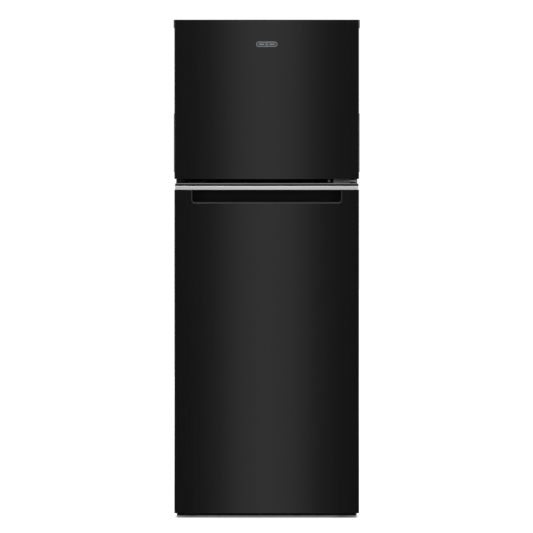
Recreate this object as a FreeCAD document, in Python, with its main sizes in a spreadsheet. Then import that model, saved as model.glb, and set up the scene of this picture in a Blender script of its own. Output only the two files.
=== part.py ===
import FreeCAD, Part

import math
import os
from types import SimpleNamespace

import Sketcher
from FreeCAD import Placement, Rotation, Vector

# A free-standing 24-inch-class refrigerator with a freezer on top, in millimetres. +X is the
# owner's right, +Y is the back, +Z is up. The origin is on the floor, under the middle of the
# cabinet. Both doors hang on the right. Every size below is a cell of the document's sheet.

SIZES = [
    # cabinet
    ("cabinet_width", 597, "outside width of the cabinet and of both doors"),
    ("overall_depth", 700, "handle strip's front to the wall spacers' tips"),
    ("cabinet_top", 1620, "height of the wrapper's top"),
    ("cabinet_bottom", 42, "height of the wrapper's lower edge"),
    ("steel", 0.8, "painted sheet of the wrapper, back and door skins"),
    ("flange_width", 30, "wrapper's folded front flange, where the gaskets seal"),
    ("wrapper_round", 6, "outside bend of the wrapper's two top edges"),
    ("spacer_depth", 5, "wall spacers behind the back panel"),
    ("liner", 2, "thermoformed liner wall"),
    ("side_wall", 50, "insulated side wall, skin to cavity"),
    ("top_wall", 52, "insulated top"),
    ("rear_wall", 60, "insulated back"),
    ("cavity_round", 12, "inside corners of both cavities"),
    ("freezer_section", 514, "cabinet's top down to the middle of the wall between the cavities"),
    ("mullion_height", 72, "that wall, cavity to cavity"),
    ("mullion_face", 64, "steel strip across its front"),
    ("fridge_floor", 110, "height of the fridge cavity's floor"),
    ("hump_wall", 45, "insulation over and in front of the compressor niche"),
    ("niche_depth", 205, "compressor niche, measured from the back"),
    ("niche_top", 250, "height of the niche's ceiling"),
    ("pan_height", 62, "height of the floor pan under the insulation"),
    ("pan", 1, "floor pan sheet"),
    # base
    ("rail_bottom", 45, "height of the base rail's web"),
    ("rail_top", 85, "height of the base rail's top edge"),
    ("rail", 1.5, "base rail and tray sheet"),
    ("rail_depth", 85, "base rail's web, front to back"),
    ("toe_inset", 15, "toe plate, behind the cabinet's front"),
    ("toe_bottom", 3, "height of the toe plate's lower edge"),
    ("leg_inset", 47, "levelling leg's axis, in from the cabinet's side"),
    ("leg_setback", 50, "levelling leg's axis, behind the cabinet's front"),
    ("leg_pad", 20, "levelling leg's foot radius"),
    ("leg_stud", 5, "levelling leg's stud radius"),
    ("leg_height", 58, "floor to the top of the stud"),
    ("turn_gap", 0.06, "radial running clearance of turning parts"),
    ("roller_radius", 15, "rear roller"),
    ("roller_width", 16, "rear roller's tread"),
    ("roller_inset", 62, "rear roller's middle, in from the cabinet's side"),
    ("roller_setback", 60, "rear roller's axle, in front of the back"),
    ("axle", 3, "rear roller's axle radius"),
    # doors
    ("door_thickness", 52, "door skin's front to the door liner's flange"),
    ("gasket_depth", 11.5, "gasket, door liner to cabinet flange"),
    ("gasket_width", 18, "gasket's sealing face"),
    ("gasket_inset", 17, "gasket's outer edge, in from the door's sides"),
    ("gasket_near", 4.5, "gasket, down from the fridge door's top"),
    ("gasket_lift", 7, "gasket, up from the freezer door's bottom"),
    ("gasket_far_top", 11.4, "gasket, down from the freezer door's top"),
    ("gasket_far_low", 22, "gasket, up from the fridge door's bottom"),
    ("door_rise", 5, "freezer door's top, above the wrapper's"),
    ("gap_above", 5, "freezer door's bottom, above the mullion's middle"),
    ("gap_below", 8.6, "fridge door's top, below the mullion's middle"),
    ("fridge_door_low", 32, "height of the fridge door's bottom"),
    ("skin_round", 4, "outside bend of the door skins' upright edges"),
    ("cap_plate", 2.5, "end cap's plate"),
    ("foot_cap", 6, "fridge door's bottom cap"),
    ("foot_round", 1, "rounding of its lower edge"),
    ("cheek_height", 26, "end cap's side cheek on the freezer door"),
    ("cheek_proud", 2.2, "cheek's thickness outside the skin"),
    ("dike_gap", 12, "door liner's dike to the cavity wall, above and below"),
    ("dike_side_gap", 10.5, "door liner's dike to the cavity wall, at the sides"),
    ("dike_width", 28, "dike's thickness"),
    ("dike_reach", 28, "how far the dike goes into the cabinet"),
    ("bin_reach", 80, "how far the door bins go into the cabinet"),
    ("bin_wall", 2.5, "door bin and drawer wall"),
    # handle of the fridge door
    ("strip_height", 11.9, "bright handle strip"),
    ("strip_inset", 2.5, "strip and top cap, in from the door's sides"),
    ("strip_proud", 1.5, "strip's front, ahead of the door skin"),
    ("strip_back", 6, "strip's back, behind the skin's front"),
    ("strip_cap", 9.4, "top cap above the strip"),
    ("cap_slope", 3.6, "height of the slope along that cap's front edge"),
    ("pocket_side", 56.5, "finger pocket's cut-out, in from the door's sides"),
    ("pocket_height", 43.3, "cut-out, from the strip down"),
    ("pocket_depth", 34, "finger pocket's depth behind the skin's front"),
    ("pocket_undercut", 8, "room for fingertips behind the strip"),
    ("pocket_rim", 3.4, "rounding of the pocket's mouth"),
    ("pocket_wall", 4, "pocket moulding's wall"),
    ("pocket_round", 10, "cut-out's lower corners"),
    # grips of the freezer door
    ("grip_rise", 24.8, "side grip's lower end, above the freezer door's bottom"),
    ("grip_length", 188.9, "side grip, end to end"),
    ("grip_front", 13, "grip moulding, behind the skin's front"),
    ("grip_rear", 8, "grip moulding, ahead of the door liner's flange"),
    ("grip_depth", 19, "grip moulding, in from the skin"),
    ("grip_proud", 2.5, "grip's lip, outside the skin"),
    ("grip_wall", 2.2, "grip moulding's wall"),
    # hinges
    ("pin_inset", 16, "hinge line, in from the cabinet's side"),
    ("pin_setback", 28, "hinge line, behind the skin's front"),
    ("pin_radius", 5, "hinge pins"),
    ("bush_radius", 8, "door bush, outside"),
    ("bush_length", 15, "door bush in its cap"),
    ("boss_radius", 12, "cap's boss round a bush"),
    ("hinge_plate", 3, "hinge steel"),
    ("hinge_side", 6.5, "hinge plates, in from the cabinet's side"),
    ("hinge_length", 72, "hinge plates along X"),
    ("hinge_gap", 0.3, "bush flange to hinge plate"),
    ("hinge_shift", 2.2, "middle hinge's arm, above the middle of the gap between the doors"),
    ("screw_line", 5, "middle hinge's screws, above the mullion's middle"),
    ("cover_height", 17, "top hinge cover, above the wrapper's top"),
    ("screw_radius", 2.5, "screw shank"),
    ("screw_head", 5, "screw head"),
    # inside
    ("shelf_front", 110, "shelves and drawer, behind the cabinet's front"),
    ("shelf_frame", 12, "shelf frame's height"),
    ("shelf_side_gap", 1.5, "shelf frame to the cavity's side"),
    ("shelf_glass", 4, "tempered glass"),
    ("ledge", 8, "liner's shelf ledges"),
    ("drawer_side_gap", 11, "crisper drawer to the cavity's side"),
    ("drawer_top", 283, "height of the drawer's rim"),
    ("cover_setback", 80, "evaporator cover, ahead of the freezer's back"),
    ("fan_drop", 118, "fan's axis, below the freezer's ceiling"),
    ("fan_radius", 55, "fan blades"),
    ("knob_radius", 17, "temperature knob"),
    ("plunger_radius", 3, "lamp switch plunger"),
    # compressor
    ("compressor_x", -90, "compressor's axis, across"),
    ("compressor_setback", 107, "compressor's axis, ahead of the back"),
    ("compressor_radius", 75, "compressor shell"),
    ("compressor_base", 59, "height of its base plate"),
    ("compressor_top", 203, "height of its lid"),
    ("pipe", 3.2, "refrigerant pipe radius"),
]

doc = FreeCAD.newDocument("TopFreezerRefrigerator")
sheet = doc.addObject("Spreadsheet::Sheet", "Sizes")
for row, (alias, value, meaning) in enumerate(SIZES, start=1):
    sheet.set(f"A{row}", str(value))
    sheet.setAlias(f"A{row}", alias)
    sheet.set(f"B{row}", meaning)
doc.recompute()


class Size:
    """A length written as an expression on the sheet's cells. Arithmetic makes longer expressions."""

    def __init__(self, text):
        self.text = text

    @staticmethod
    def word(other):
        return other.text if isinstance(other, Size) else repr(float(other))

    def __add__(self, other):
        return Size(f"({self.text} + {self.word(other)})")

    def __sub__(self, other):
        return Size(f"({self.text} - {self.word(other)})")

    def __rsub__(self, other):
        return Size(f"({self.word(other)} - {self.text})")

    def __mul__(self, other):
        return Size(f"({self.text} * {self.word(other)})")

    def __truediv__(self, other):
        return Size(f"({self.text} / {self.word(other)})")

    def __neg__(self):
        return Size(f"(-{self.text})")

    __radd__ = __add__
    __rmul__ = __mul__


def mm(length):
    """The number that a Size, or a plain number, comes to now."""
    return float(sheet.evalExpression(Size.word(length)))


d = SimpleNamespace(**{alias: Size(f"Sizes.{alias}") for alias, _, _ in SIZES})

# Planes and levels that several pieces share.
side = d.cabinet_width / 2
back = d.overall_depth / 2
skin_front = -back + d.strip_proud
door_back = skin_front + d.door_thickness
front = door_back + d.gasket_depth
rear = back - d.spacer_depth
inside = side - d.steel
flange_in = side - d.flange_width
cavity = side - d.side_wall
cavity_back = rear - d.rear_wall
mullion_middle = d.cabinet_top - d.freezer_section
freezer_door_top = d.cabinet_top + d.door_rise
freezer_door_low = mullion_middle + d.gap_above
fridge_door_top = mullion_middle - d.gap_below
freezer_floor = mullion_middle + d.mullion_height / 2
freezer_top = d.cabinet_top - d.top_wall
fridge_top = mullion_middle - d.mullion_height / 2
mullion_low = mullion_middle - d.mullion_face / 2
mullion_high = mullion_middle + d.mullion_face / 2
niche_front = rear - d.niche_depth
hump_front = niche_front - d.hump_wall
hump_top = d.niche_top + d.hump_wall
pin_x = side - d.pin_inset
pin_y = skin_front + d.pin_setback
hinge_right = side - d.hinge_side
hinge_left = hinge_right - d.hinge_length
strip_top = fridge_door_top - d.strip_cap
strip_low = strip_top - d.strip_height
shelf_start = front + d.shelf_front
cover_front = cavity_back - d.cover_setback
cover_shelf = hump_top + 2
shelf_pitch = (fridge_top - cover_shelf) / 4
SHELVES = [cover_shelf + shelf_pitch * n for n in (1, 2, 3)]
freezer_shelf = (freezer_floor + freezer_top) / 2
dike_side = cavity - d.dike_side_gap
pocket_half = side - d.pocket_side
cover_top = d.cabinet_top + d.cover_height
grip_low = freezer_door_low + d.grip_rise
grip_high = grip_low + d.grip_length

# How a sketch lies on each origin plane: the plane's role, and the sign of its normal.
PLANES = {"X": ("YZ_Plane", 1), "Y": ("XZ_Plane", -1), "Z": ("XY_Plane", 1)}
DIRECTIONS = {"X": Vector(1, 0, 0), "Y": Vector(0, 1, 0), "Z": Vector(0, 0, 1)}
LINE_OF = {"X": "H_Axis", "Y": "H_Axis", "Z": "V_Axis"}
sub_parts = []


def box(u0, u1, v0, v1):
    """A rectangle's four corners."""
    return [(u0, v0), (u1, v0), (u1, v1), (u0, v1)]


def both_sides(u0, u1, v0, v1):
    """A rectangle and its mirror image across the cabinet's middle."""
    return [box(u0, u1, v0, v1), box(-u1, -u0, v0, v1)]


class Piece:
    """A PartDesign body made of prisms and turned shapes whose sketches are bound to the sheet."""

    def __init__(self, label, export=True):
        self.body = doc.addObject("PartDesign::Body", label)
        self.body.Label = label
        self.volume = 0.0
        if export:
            sub_parts.append(self.body)

    def sketch(self, plane, offsets, loops):
        found = [f for f in self.body.Origin.OriginFeatures if f.Role == plane]
        made = self.body.newObject("Sketcher::SketchObject", self.body.Name + "_sketch")
        made.AttachmentSupport = [(found[0], "")]
        made.MapMode = "FlatFace"
        for way, length in offsets.items():
            made.setExpression(f"AttachmentOffset.Base.{way}", Size.word(length))
        for loop in loops:
            if loop[0] == "circle":
                self.add_circle(made, *loop[1:])
            else:
                self.add_polygon(made, loop)
        return made

    def pin_down(self, sketch, geometry, point, u, v):
        for kind, axis, length in (("DistanceX", -2, u), ("DistanceY", -1, v)):
            if abs(mm(length)) < 1e-9:
                sketch.addConstraint(Sketcher.Constraint("PointOnObject", geometry, point, axis))
                continue
            made = Sketcher.Constraint(kind, -1, 1, geometry, point, mm(length))
            number = sketch.addConstraint(made)
            sketch.setExpression(f"Constraints[{number}]", Size.word(length))

    def add_polygon(self, sketch, corners):
        places = [Vector(mm(u), mm(v), 0) for u, v in corners]
        first = sketch.GeometryCount
        count = len(places)
        for n, place in enumerate(places):
            sketch.addGeometry(Part.LineSegment(place, places[(n + 1) % count]), False)
        for n, (u, v) in enumerate(corners):
            after = first + (n + 1) % count
            sketch.addConstraint(Sketcher.Constraint("Coincident", first + n, 2, after, 1))
            self.pin_down(sketch, first + n, 1, u, v)

    def add_circle(self, sketch, u, v, radius):
        circle = Part.Circle(Vector(mm(u), mm(v), 0), Vector(0, 0, 1), mm(radius))
        number = sketch.addGeometry(circle, False)
        self.pin_down(sketch, number, 3, u, v)
        made = sketch.addConstraint(Sketcher.Constraint("Radius", number, mm(radius)))
        sketch.setExpression(f"Constraints[{made}]", Size.word(radius))

    def settle(self, grows):
        """Recomputes, and stops if the last feature failed or changed the volume the wrong way."""
        doc.recompute()
        volume = self.body.Shape.Volume
        tip = self.body.Tip
        wrong = volume <= self.volume if grows else volume >= self.volume
        if wrong or "Invalid" in tip.State or "Error" in tip.State:
            raise ValueError(f"{self.body.Label}: {tip.Name} did nothing or failed")
        self.volume = volume
        return self

    def pad(self, axis, low, high, *loops):
        """Adds a prism from low to high along an axis of the frame."""
        plane, sign = PLANES[axis]
        start = low if sign > 0 else -(Size("0.0") + high)
        sketch = self.sketch(plane, {"z": start}, loops)
        made = self.body.newObject("PartDesign::Pad", self.body.Name + "_pad")
        made.Profile = sketch
        made.setExpression("Length", Size.word(Size("0.0") + high - low))
        return self.settle(True)

    def pocket(self, axis, low, high, *loops):
        """Cuts a prism from low to high along an axis of the frame."""
        plane, sign = PLANES[axis]
        start = high if sign > 0 else -(Size("0.0") + low)
        sketch = self.sketch(plane, {"z": start}, loops)
        made = self.body.newObject("PartDesign::Pocket", self.body.Name + "_pocket")
        made.Profile = sketch
        made.setExpression("Length", Size.word(Size("0.0") + high - low))
        return self.settle(False)

    def turn(self, axis, centre, profile, cut=False):
        """Turns a profile about a line through centre: (radius, height) pairs about Z,
        (distance from centre, radius) about X, and (y, radius) about Y."""
        x, y, z = centre
        if axis == "Z":
            plane, offsets = "XZ_Plane", {"x": x, "z": -(Size("0.0") + y)}
        elif axis == "X":
            plane, offsets = "XZ_Plane", {"x": x, "y": z, "z": -(Size("0.0") + y)}
        else:
            plane, offsets = "YZ_Plane", {"y": z, "z": x}
        sketch = self.sketch(plane, offsets, [profile])
        kind = "Groove" if cut else "Revolution"
        made = self.body.newObject(f"PartDesign::{kind}", f"{self.body.Name}_{kind.lower()}")
        made.Profile = sketch
        made.ReferenceAxis = (sketch, [LINE_OF[axis]])
        made.Angle = 360
        return self.settle(not cut)

    def round(self, radius, where, grows=False):
        """Fillets the edges whose middle and direction the test accepts."""
        names = []
        for n, edge in enumerate(self.body.Tip.Shape.Edges, start=1):
            middle = edge.CenterOfMass
            run = Vector(0, 0, 0)
            if edge.Curve.TypeId == "Part::GeomLine":
                run = edge.tangentAt(edge.FirstParameter)
            if where(middle, run):
                names.append(f"Edge{n}")
        return self.fillet(radius, names, grows)

    def fillet(self, radius, names, grows):
        """Fillets the named edges."""
        base = self.body.Tip
        made = self.body.newObject("PartDesign::Fillet", self.body.Name + "_fillet")
        made.Base = (base, names)
        made.setExpression("Radius", Size.word(radius))
        return self.settle(grows)


def near(one, other, within=0.01):
    return abs(one - mm(other)) < within


def along(run, axis):
    return abs(run.dot(DIRECTIONS[axis])) > 0.999


def rod(axis, centre, length, radius, name="rod"):
    """A plain Part cylinder that starts at centre and runs along an axis."""
    made = doc.addObject("Part::Cylinder", name)
    turned = {"X": Rotation(Vector(0, 1, 0), 90), "Y": Rotation(Vector(1, 0, 0), -90)}
    made.Placement = Placement(Vector(), turned.get(axis, Rotation()))
    for way, place in zip("xyz", centre):
        made.setExpression(f"Placement.Base.{way}", Size.word(place))
    made.setExpression("Height", Size.word(length))
    made.setExpression("Radius", Size.word(radius))
    return made


def block(x0, x1, y0, y1, z0, z1, name="block"):
    """A plain Part box between two corners."""
    made = doc.addObject("Part::Box", name)
    for way, side_name, low, high in (
        ("x", "Length", x0, x1),
        ("y", "Width", y0, y1),
        ("z", "Height", z0, z1),
    ):
        made.setExpression(f"Placement.Base.{way}", Size.word(low))
        made.setExpression(side_name, Size.word(Size("0.0") + high - low))
    return made


def fused(label, shapes, export=True):
    made = doc.addObject("Part::MultiFuse", label)
    made.Label = label
    made.Shapes = shapes
    if export:
        sub_parts.append(made)
    return made


def group(label, objects):
    """Like pieces that share one node as separate solids."""
    made = doc.addObject("Part::Compound", label)
    made.Label = label
    made.Links = [o.body if isinstance(o, Piece) else o for o in objects]
    sub_parts.append(made)
    return made


def tube(label, points, radius, bend):
    """A bent pipe: straight runs joined by arcs, swept with a circle."""
    spots = [Vector(*(mm(c) for c in p)) for p in points]
    edges, start = [], spots[0]
    for before, corner, after in zip(spots, spots[1:], spots[2:]):
        into = (corner - before).normalize()
        out = (after - corner).normalize()
        half_turn = into.getAngle(out) / 2
        cut = mm(bend) * math.tan(half_turn)
        first, last = corner - into * cut, corner + out * cut
        inward = (out - into).normalize()
        middle = corner + inward * (mm(bend) / math.cos(half_turn) - mm(bend))
        edges += [Part.makeLine(start, first), Part.Arc(first, middle, last).toShape()]
        start = last
    edges.append(Part.makeLine(start, spots[-1]))
    circle = Part.makeCircle(mm(radius), spots[0], spots[1] - spots[0])
    made = doc.addObject("Part::Feature", label)
    made.Shape = Part.Wire(edges).makePipeShell([Part.Wire(circle)], True, False)
    return made


# ---------------------------------------------------------------- cabinet

def wrapper_outline(width):
    """An upside-down U: the sheet, or its folded flange, that is width wide."""
    return [
        (-side, d.cabinet_bottom),
        (-side, d.cabinet_top),
        (side, d.cabinet_top),
        (side, d.cabinet_bottom),
        (side - width, d.cabinet_bottom),
        (side - width, d.cabinet_top - width),
        (width - side, d.cabinet_top - width),
        (width - side, d.cabinet_bottom),
    ]


def on_line(middle, run, x, z):
    """True for an edge along Y at plus or minus x and at height z."""
    return along(run, "Y") and near(abs(middle.x), x) and near(middle.z, z)


wrapper = Piece("cabinet_wrapper")
wrapper.pad("Y", front, rear, wrapper_outline(d.steel))
wrapper.pad("Y", front, front + d.steel, wrapper_outline(d.flange_width))
wrapper.round(
    d.wrapper_round - d.steel,
    lambda m, r: on_line(m, r, inside, d.cabinet_top - d.steel),
    grows=True,
)
wrapper.round(d.wrapper_round, lambda m, r: on_line(m, r, side, d.cabinet_top))

panel = Piece("rear_panel")
panel.pad("Y", rear - d.steel, rear, box(-inside, inside, d.niche_top, d.cabinet_top - d.steel))
panel.round(
    d.wrapper_round - d.steel,
    lambda m, r: on_line(m, r, inside, d.cabinet_top - d.steel),
)
RIB_WIDTH, RIB_PROUD, RIB_PITCH = 14, 2, 110
ribs = [
    box(x - RIB_WIDTH / 2, x + RIB_WIDTH / 2, d.niche_top + 90, d.cabinet_top - 120)
    for x in (-1.5 * RIB_PITCH, -0.5 * RIB_PITCH, 0.5 * RIB_PITCH, 1.5 * RIB_PITCH)
]
panel.pad("Y", rear, rear + RIB_PROUD, *ribs)

pan = Piece("floor_pan")
pan.pad(
    "X",
    -inside,
    inside,
    [
        (front + d.rail, d.pan_height),
        (niche_front, d.pan_height),
        (niche_front, d.niche_top - d.pan),
        (rear, d.niche_top - d.pan),
        (rear, d.niche_top),
        (niche_front - d.pan, d.niche_top),
        (niche_front - d.pan, d.pan_height + d.pan),
        (front + d.rail, d.pan_height + d.pan),
    ],
)


def fridge_section(wall):
    """The fridge cavity's side view, moved outwards by wall. Its floor steps over the niche."""
    return [
        (front, d.fridge_floor - wall),
        (hump_front + wall, d.fridge_floor - wall),
        (hump_front + wall, hump_top - wall),
        (cavity_back + wall, hump_top - wall),
        (cavity_back + wall, fridge_top + wall),
        (front, fridge_top + wall),
    ]


foam = Piece("cabinet_foam")
foam.pad(
    "X",
    -inside,
    inside,
    [
        (front + d.liner, d.pan_height + d.pan),
        (niche_front - d.pan, d.pan_height + d.pan),
        (niche_front - d.pan, d.niche_top),
        (rear - d.steel, d.niche_top),
        (rear - d.steel, d.cabinet_top - d.steel),
        (front + d.liner, d.cabinet_top - d.steel),
    ],
)
foam.round(
    d.wrapper_round - d.steel,
    lambda m, r: on_line(m, r, inside, d.cabinet_top - d.steel),
)
foam.pocket(
    "Y",
    front,
    cavity_back + d.liner,
    box(-cavity - d.liner, cavity + d.liner, freezer_floor - d.liner, freezer_top + d.liner),
)
foam.pocket("X", -cavity - d.liner, cavity + d.liner, fridge_section(d.liner))

LEDGE_HEIGHT = 8
freezer = Piece("freezer_liner")
freezer.pad(
    "Y",
    front,
    cavity_back + d.liner,
    box(-cavity - d.liner, cavity + d.liner, freezer_floor - d.liner, freezer_top + d.liner),
)
freezer.pad(
    "Y", front, front + d.liner, box(-flange_in, flange_in, mullion_high, d.cabinet_top - d.flange_width)
)
freezer.pocket("Y", front, cavity_back, box(-cavity, cavity, freezer_floor, freezer_top))
freezer.round(
    d.cavity_round,
    lambda m, r: on_line(m, r, cavity, freezer_floor) or on_line(m, r, cavity, freezer_top),
    grows=True,
)
freezer.pad(
    "Y",
    shelf_start + 20,
    cover_front - 2,
    *both_sides(cavity - d.ledge, cavity, freezer_shelf - LEDGE_HEIGHT, freezer_shelf),
)

fridge = Piece("fridge_liner")
fridge.pad("X", -cavity - d.liner, cavity + d.liner, fridge_section(d.liner))
fridge.pad(
    "Y", front, front + d.liner, box(-flange_in, flange_in, d.rail_top, mullion_low)
)
fridge.pocket("X", -cavity, cavity, fridge_section(Size("0.0")))
fridge.round(
    d.cavity_round,
    lambda m, r: on_line(m, r, cavity, fridge_top),
    grows=True,
)
for shelf in SHELVES:
    fridge.pad(
        "Y",
        shelf_start + 20,
        cavity_back,
        *both_sides(cavity - d.ledge, cavity, shelf - LEDGE_HEIGHT, shelf),
    )
fridge.pad(
    "Y",
    shelf_start + 20,
    hump_front,
    *both_sides(cavity - d.ledge, cavity, cover_shelf - LEDGE_HEIGHT, cover_shelf),
)

mullion = Piece("mullion_rail")
mullion.pad("Y", front, front + d.liner, box(-flange_in, flange_in, mullion_low, mullion_high))

leg_x = side - d.leg_inset
leg_y = front + d.leg_setback
rail = Piece("base_rail")
rail.pad("Y", front, front + d.rail, box(-flange_in, flange_in, d.rail_bottom, d.rail_top))
rail.pad(
    "X",
    -inside,
    inside,
    [
        (front + d.rail, d.rail_bottom),
        (front + d.toe_inset, d.rail_bottom),
        (front + d.toe_inset, d.toe_bottom),
        (front + d.toe_inset + d.rail, d.toe_bottom),
        (front + d.toe_inset + d.rail, d.rail_bottom),
        (front + d.rail_depth, d.rail_bottom),
        (front + d.rail_depth, d.rail_bottom + d.rail),
        (front + d.rail, d.rail_bottom + d.rail),
    ],
)
rail.pocket(
    "Z",
    d.rail_bottom - 1,
    d.rail_bottom + d.rail + 1,
    ("circle", leg_x, leg_y, d.leg_stud + d.turn_gap),
    ("circle", -leg_x, leg_y, d.leg_stud + d.turn_gap),
)

# ---------------------------------------------------------------- hinges

ARM_CLEAR = 11
TOP_ARM_CLEAR = 8
TOP_PLATE = 2.5
middle_plate_low = (freezer_door_low + fridge_door_top - d.hinge_plate) / 2 + d.hinge_shift
middle_plate_top = middle_plate_low + d.hinge_plate
bottom_plate_top = d.fridge_door_low - 5
bottom_plate_low = bottom_plate_top - d.hinge_plate
top_plate_low = freezer_door_top + 1.2
top_plate_top = top_plate_low + TOP_PLATE
PIN_IN_BUSH = 12
screw_line = mullion_middle + d.screw_line


def hinge_arm(wall):
    """The arm that reaches from the wall to round the hinge line, seen from above."""
    return [
        (hinge_left, wall),
        (pin_x - ARM_CLEAR, pin_y - ARM_CLEAR),
        (hinge_right, pin_y - ARM_CLEAR),
        (hinge_right, wall),
    ]


middle = Piece("middle_hinge")
middle.pad(
    "Y",
    front - d.hinge_plate,
    front,
    box(hinge_left, hinge_right, screw_line - 10, screw_line + 5.5),
)
middle.pad("Z", middle_plate_low, middle_plate_top, hinge_arm(front - d.hinge_plate))
middle.pad(
    "Z",
    fridge_door_top - PIN_IN_BUSH,
    freezer_door_low + PIN_IN_BUSH,
    ("circle", pin_x, pin_y, d.pin_radius),
)

toe_front = front + d.toe_inset
bottom = Piece("bottom_hinge")
bottom.pad(
    "Y",
    toe_front - d.hinge_plate,
    toe_front,
    box(hinge_left, hinge_right, bottom_plate_low - 10, d.rail_bottom - 1),
)
bottom.pad("Z", bottom_plate_low, bottom_plate_top, hinge_arm(toe_front - d.hinge_plate))
bottom.pad(
    "Z",
    bottom_plate_top - 1,
    d.fridge_door_low + PIN_IN_BUSH,
    ("circle", pin_x, pin_y, d.pin_radius),
)

TOP_HINGE_LENGTH = 130
top = Piece("top_hinge")
top.pad(
    "X",
    hinge_left,
    hinge_right,
    [
        (pin_y - TOP_ARM_CLEAR, top_plate_low),
        (front + 6, top_plate_low),
        (front + 6, d.cabinet_top),
        (front + TOP_HINGE_LENGTH, d.cabinet_top),
        (front + TOP_HINGE_LENGTH, d.cabinet_top + TOP_PLATE),
        (front + 6 + TOP_PLATE, d.cabinet_top + TOP_PLATE),
        (front + 6 + TOP_PLATE, top_plate_top),
        (pin_y - TOP_ARM_CLEAR, top_plate_top),
    ],
)
top.pad(
    "Z",
    freezer_door_top - PIN_IN_BUSH,
    top_plate_low + 1,
    ("circle", pin_x, pin_y, d.pin_radius),
)

COVER_WALL = 1.2
COVER_SIDE_CLEAR = 3
COVER_NOSE_HEIGHT = 3.8
COVER_SLOPE = 33
cover_low = freezer_door_top + 0.6
cover_nose = pin_y - 13.5
cover_tail = front + TOP_HINGE_LENGTH + 8


def cover_section(wall, low):
    """The hinge cover's side view, moved inwards by wall: a thin nose over the door that slopes up."""
    return [
        (cover_nose + wall, low),
        (cover_tail - wall, low),
        (cover_tail - wall, cover_top - wall - 7),
        (cover_tail - wall - 14, cover_top - wall),
        (cover_nose + COVER_SLOPE, cover_top - wall),
        (cover_nose + wall, freezer_door_top + COVER_NOSE_HEIGHT - wall),
    ]


cover = Piece("hinge_cover")
cover_left = hinge_left - COVER_SIDE_CLEAR - COVER_WALL
cover_right = hinge_right + COVER_SIDE_CLEAR
cover.pad("X", cover_left, cover_right, cover_section(0, d.cabinet_top))
cover.pocket(
    "X",
    cover_left + COVER_WALL,
    cover_right - COVER_WALL,
    cover_section(COVER_WALL, d.cabinet_top - 1),
)
cover.pocket(
    "X", cover_left - 1, cover_right + 1, box(cover_nose - 1, front, d.cabinet_top - 1, cover_low)
)

HEAD_HEIGHT = 3
SHANK = 10
TOP_HOLES = ((hinge_left + 14, 40), (hinge_left + 50, 40), (hinge_left + 32, 100))
mullion_mark = hinge_left - 14.5
screws = []


def screw(axis, x, y, z, sign):
    """A pan-head screw whose head sits on the point and whose shank goes the other way."""
    seat = (x, y, z)
    head = rod(axis, shifted(seat, axis, -HEAD_HEIGHT if sign < 0 else 0), HEAD_HEIGHT, d.screw_head)
    shank = rod(axis, shifted(seat, axis, 0 if sign < 0 else -SHANK), SHANK, d.screw_radius)
    screws.append(fused("screw", [head, shank], export=False))


def shifted(place, axis, amount):
    return tuple(p + amount if way == axis else p for way, p in zip("XYZ", place))


for x in (hinge_left + 12, hinge_left + 34):
    screw("Y", x, front - d.hinge_plate, screw_line, -1)
for x in (hinge_left + 12, hinge_left + 36):
    screw("Y", x, toe_front - d.hinge_plate, d.rail_bottom - 7, -1)
for x, y in TOP_HOLES:
    screw("Z", x, front + y, d.cabinet_top + TOP_PLATE, 1)
screw("Y", mullion_mark, front, screw_line, -1)
for height in (d.niche_top + 30, d.cabinet_top / 2, d.cabinet_top - 60):
    for x in (-inside + 14, inside - 14):
        screw("Y", x, rear, height, 1)
group("cabinet_screws", screws)

PLUG_PROUD, PLUG_LENGTH, PLUG_RADIUS = 1.5, 6, 4.5
plugs = [
    rod("Y", (x, front - PLUG_PROUD, screw_line), PLUG_LENGTH, PLUG_RADIUS, "plug")
    for x in (-mullion_mark, -(hinge_left + 34), -(hinge_left + 56))
]
plugs += [
    rod("Z", (-x, front + y, d.cabinet_top + PLUG_PROUD - PLUG_LENGTH), PLUG_LENGTH, PLUG_RADIUS, "plug")
    for x, y in TOP_HOLES
]
group("hole_plugs", plugs)

group(
    "wall_spacers",
    [
        block(x - 20, x + 20, rear, back, d.cabinet_top - 75, d.cabinet_top - 45, "spacer")
        for x in (-side + 90, side - 90)
    ],
)

# ---------------------------------------------------------------- feet, rollers and machine niche


def foot(label, x):
    """A levelling leg: a broad foot on a stud that turns in the base rail."""
    made = Piece(label)
    nut = d.leg_stud + 4
    made.turn(
        "Z",
        (x, leg_y, 0),
        [
            (0, 0),
            (d.leg_pad - 1.5, 0),
            (d.leg_pad, 1.5),
            (d.leg_pad, 6),
            (nut, 11),
            (nut, 18),
            (d.leg_stud, 18),
            (d.leg_stud, d.leg_height),
            (0, d.leg_height),
        ],
    )


foot("foot_left", -leg_x)
foot("foot_right", leg_x)

TRAY_LIP = 10
tray = Piece("compressor_tray")
tray.pad(
    "X",
    -inside,
    inside,
    [
        (niche_front - TRAY_LIP, d.cabinet_bottom),
        (rear - 4, d.cabinet_bottom),
        (rear - 4, d.cabinet_bottom + 12),
        (rear - 4 - d.rail, d.cabinet_bottom + 12),
        (rear - 4 - d.rail, d.cabinet_bottom + d.rail),
        (niche_front - TRAY_LIP + d.rail, d.cabinet_bottom + d.rail),
        (niche_front - TRAY_LIP + d.rail, d.pan_height),
        (niche_front - TRAY_LIP, d.pan_height),
    ],
)

roller_y = rear - d.roller_setback
roller_x = side - d.roller_inset
half_tread = d.roller_width / 2
CHEEK = 3
BRACKET_LENGTH = 36


def roller(label, x):
    """A roller whose tread has eased edges and whose bore runs on the bracket's axle."""
    made = Piece(label)
    bore = d.axle + d.turn_gap
    made.turn(
        "X",
        (x, roller_y, d.roller_radius),
        [
            (-half_tread, bore),
            (half_tread, bore),
            (half_tread, d.roller_radius - 1.5),
            (half_tread - 1.5, d.roller_radius),
            (1.5 - half_tread, d.roller_radius),
            (-half_tread, d.roller_radius - 1.5),
        ],
    )


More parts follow.
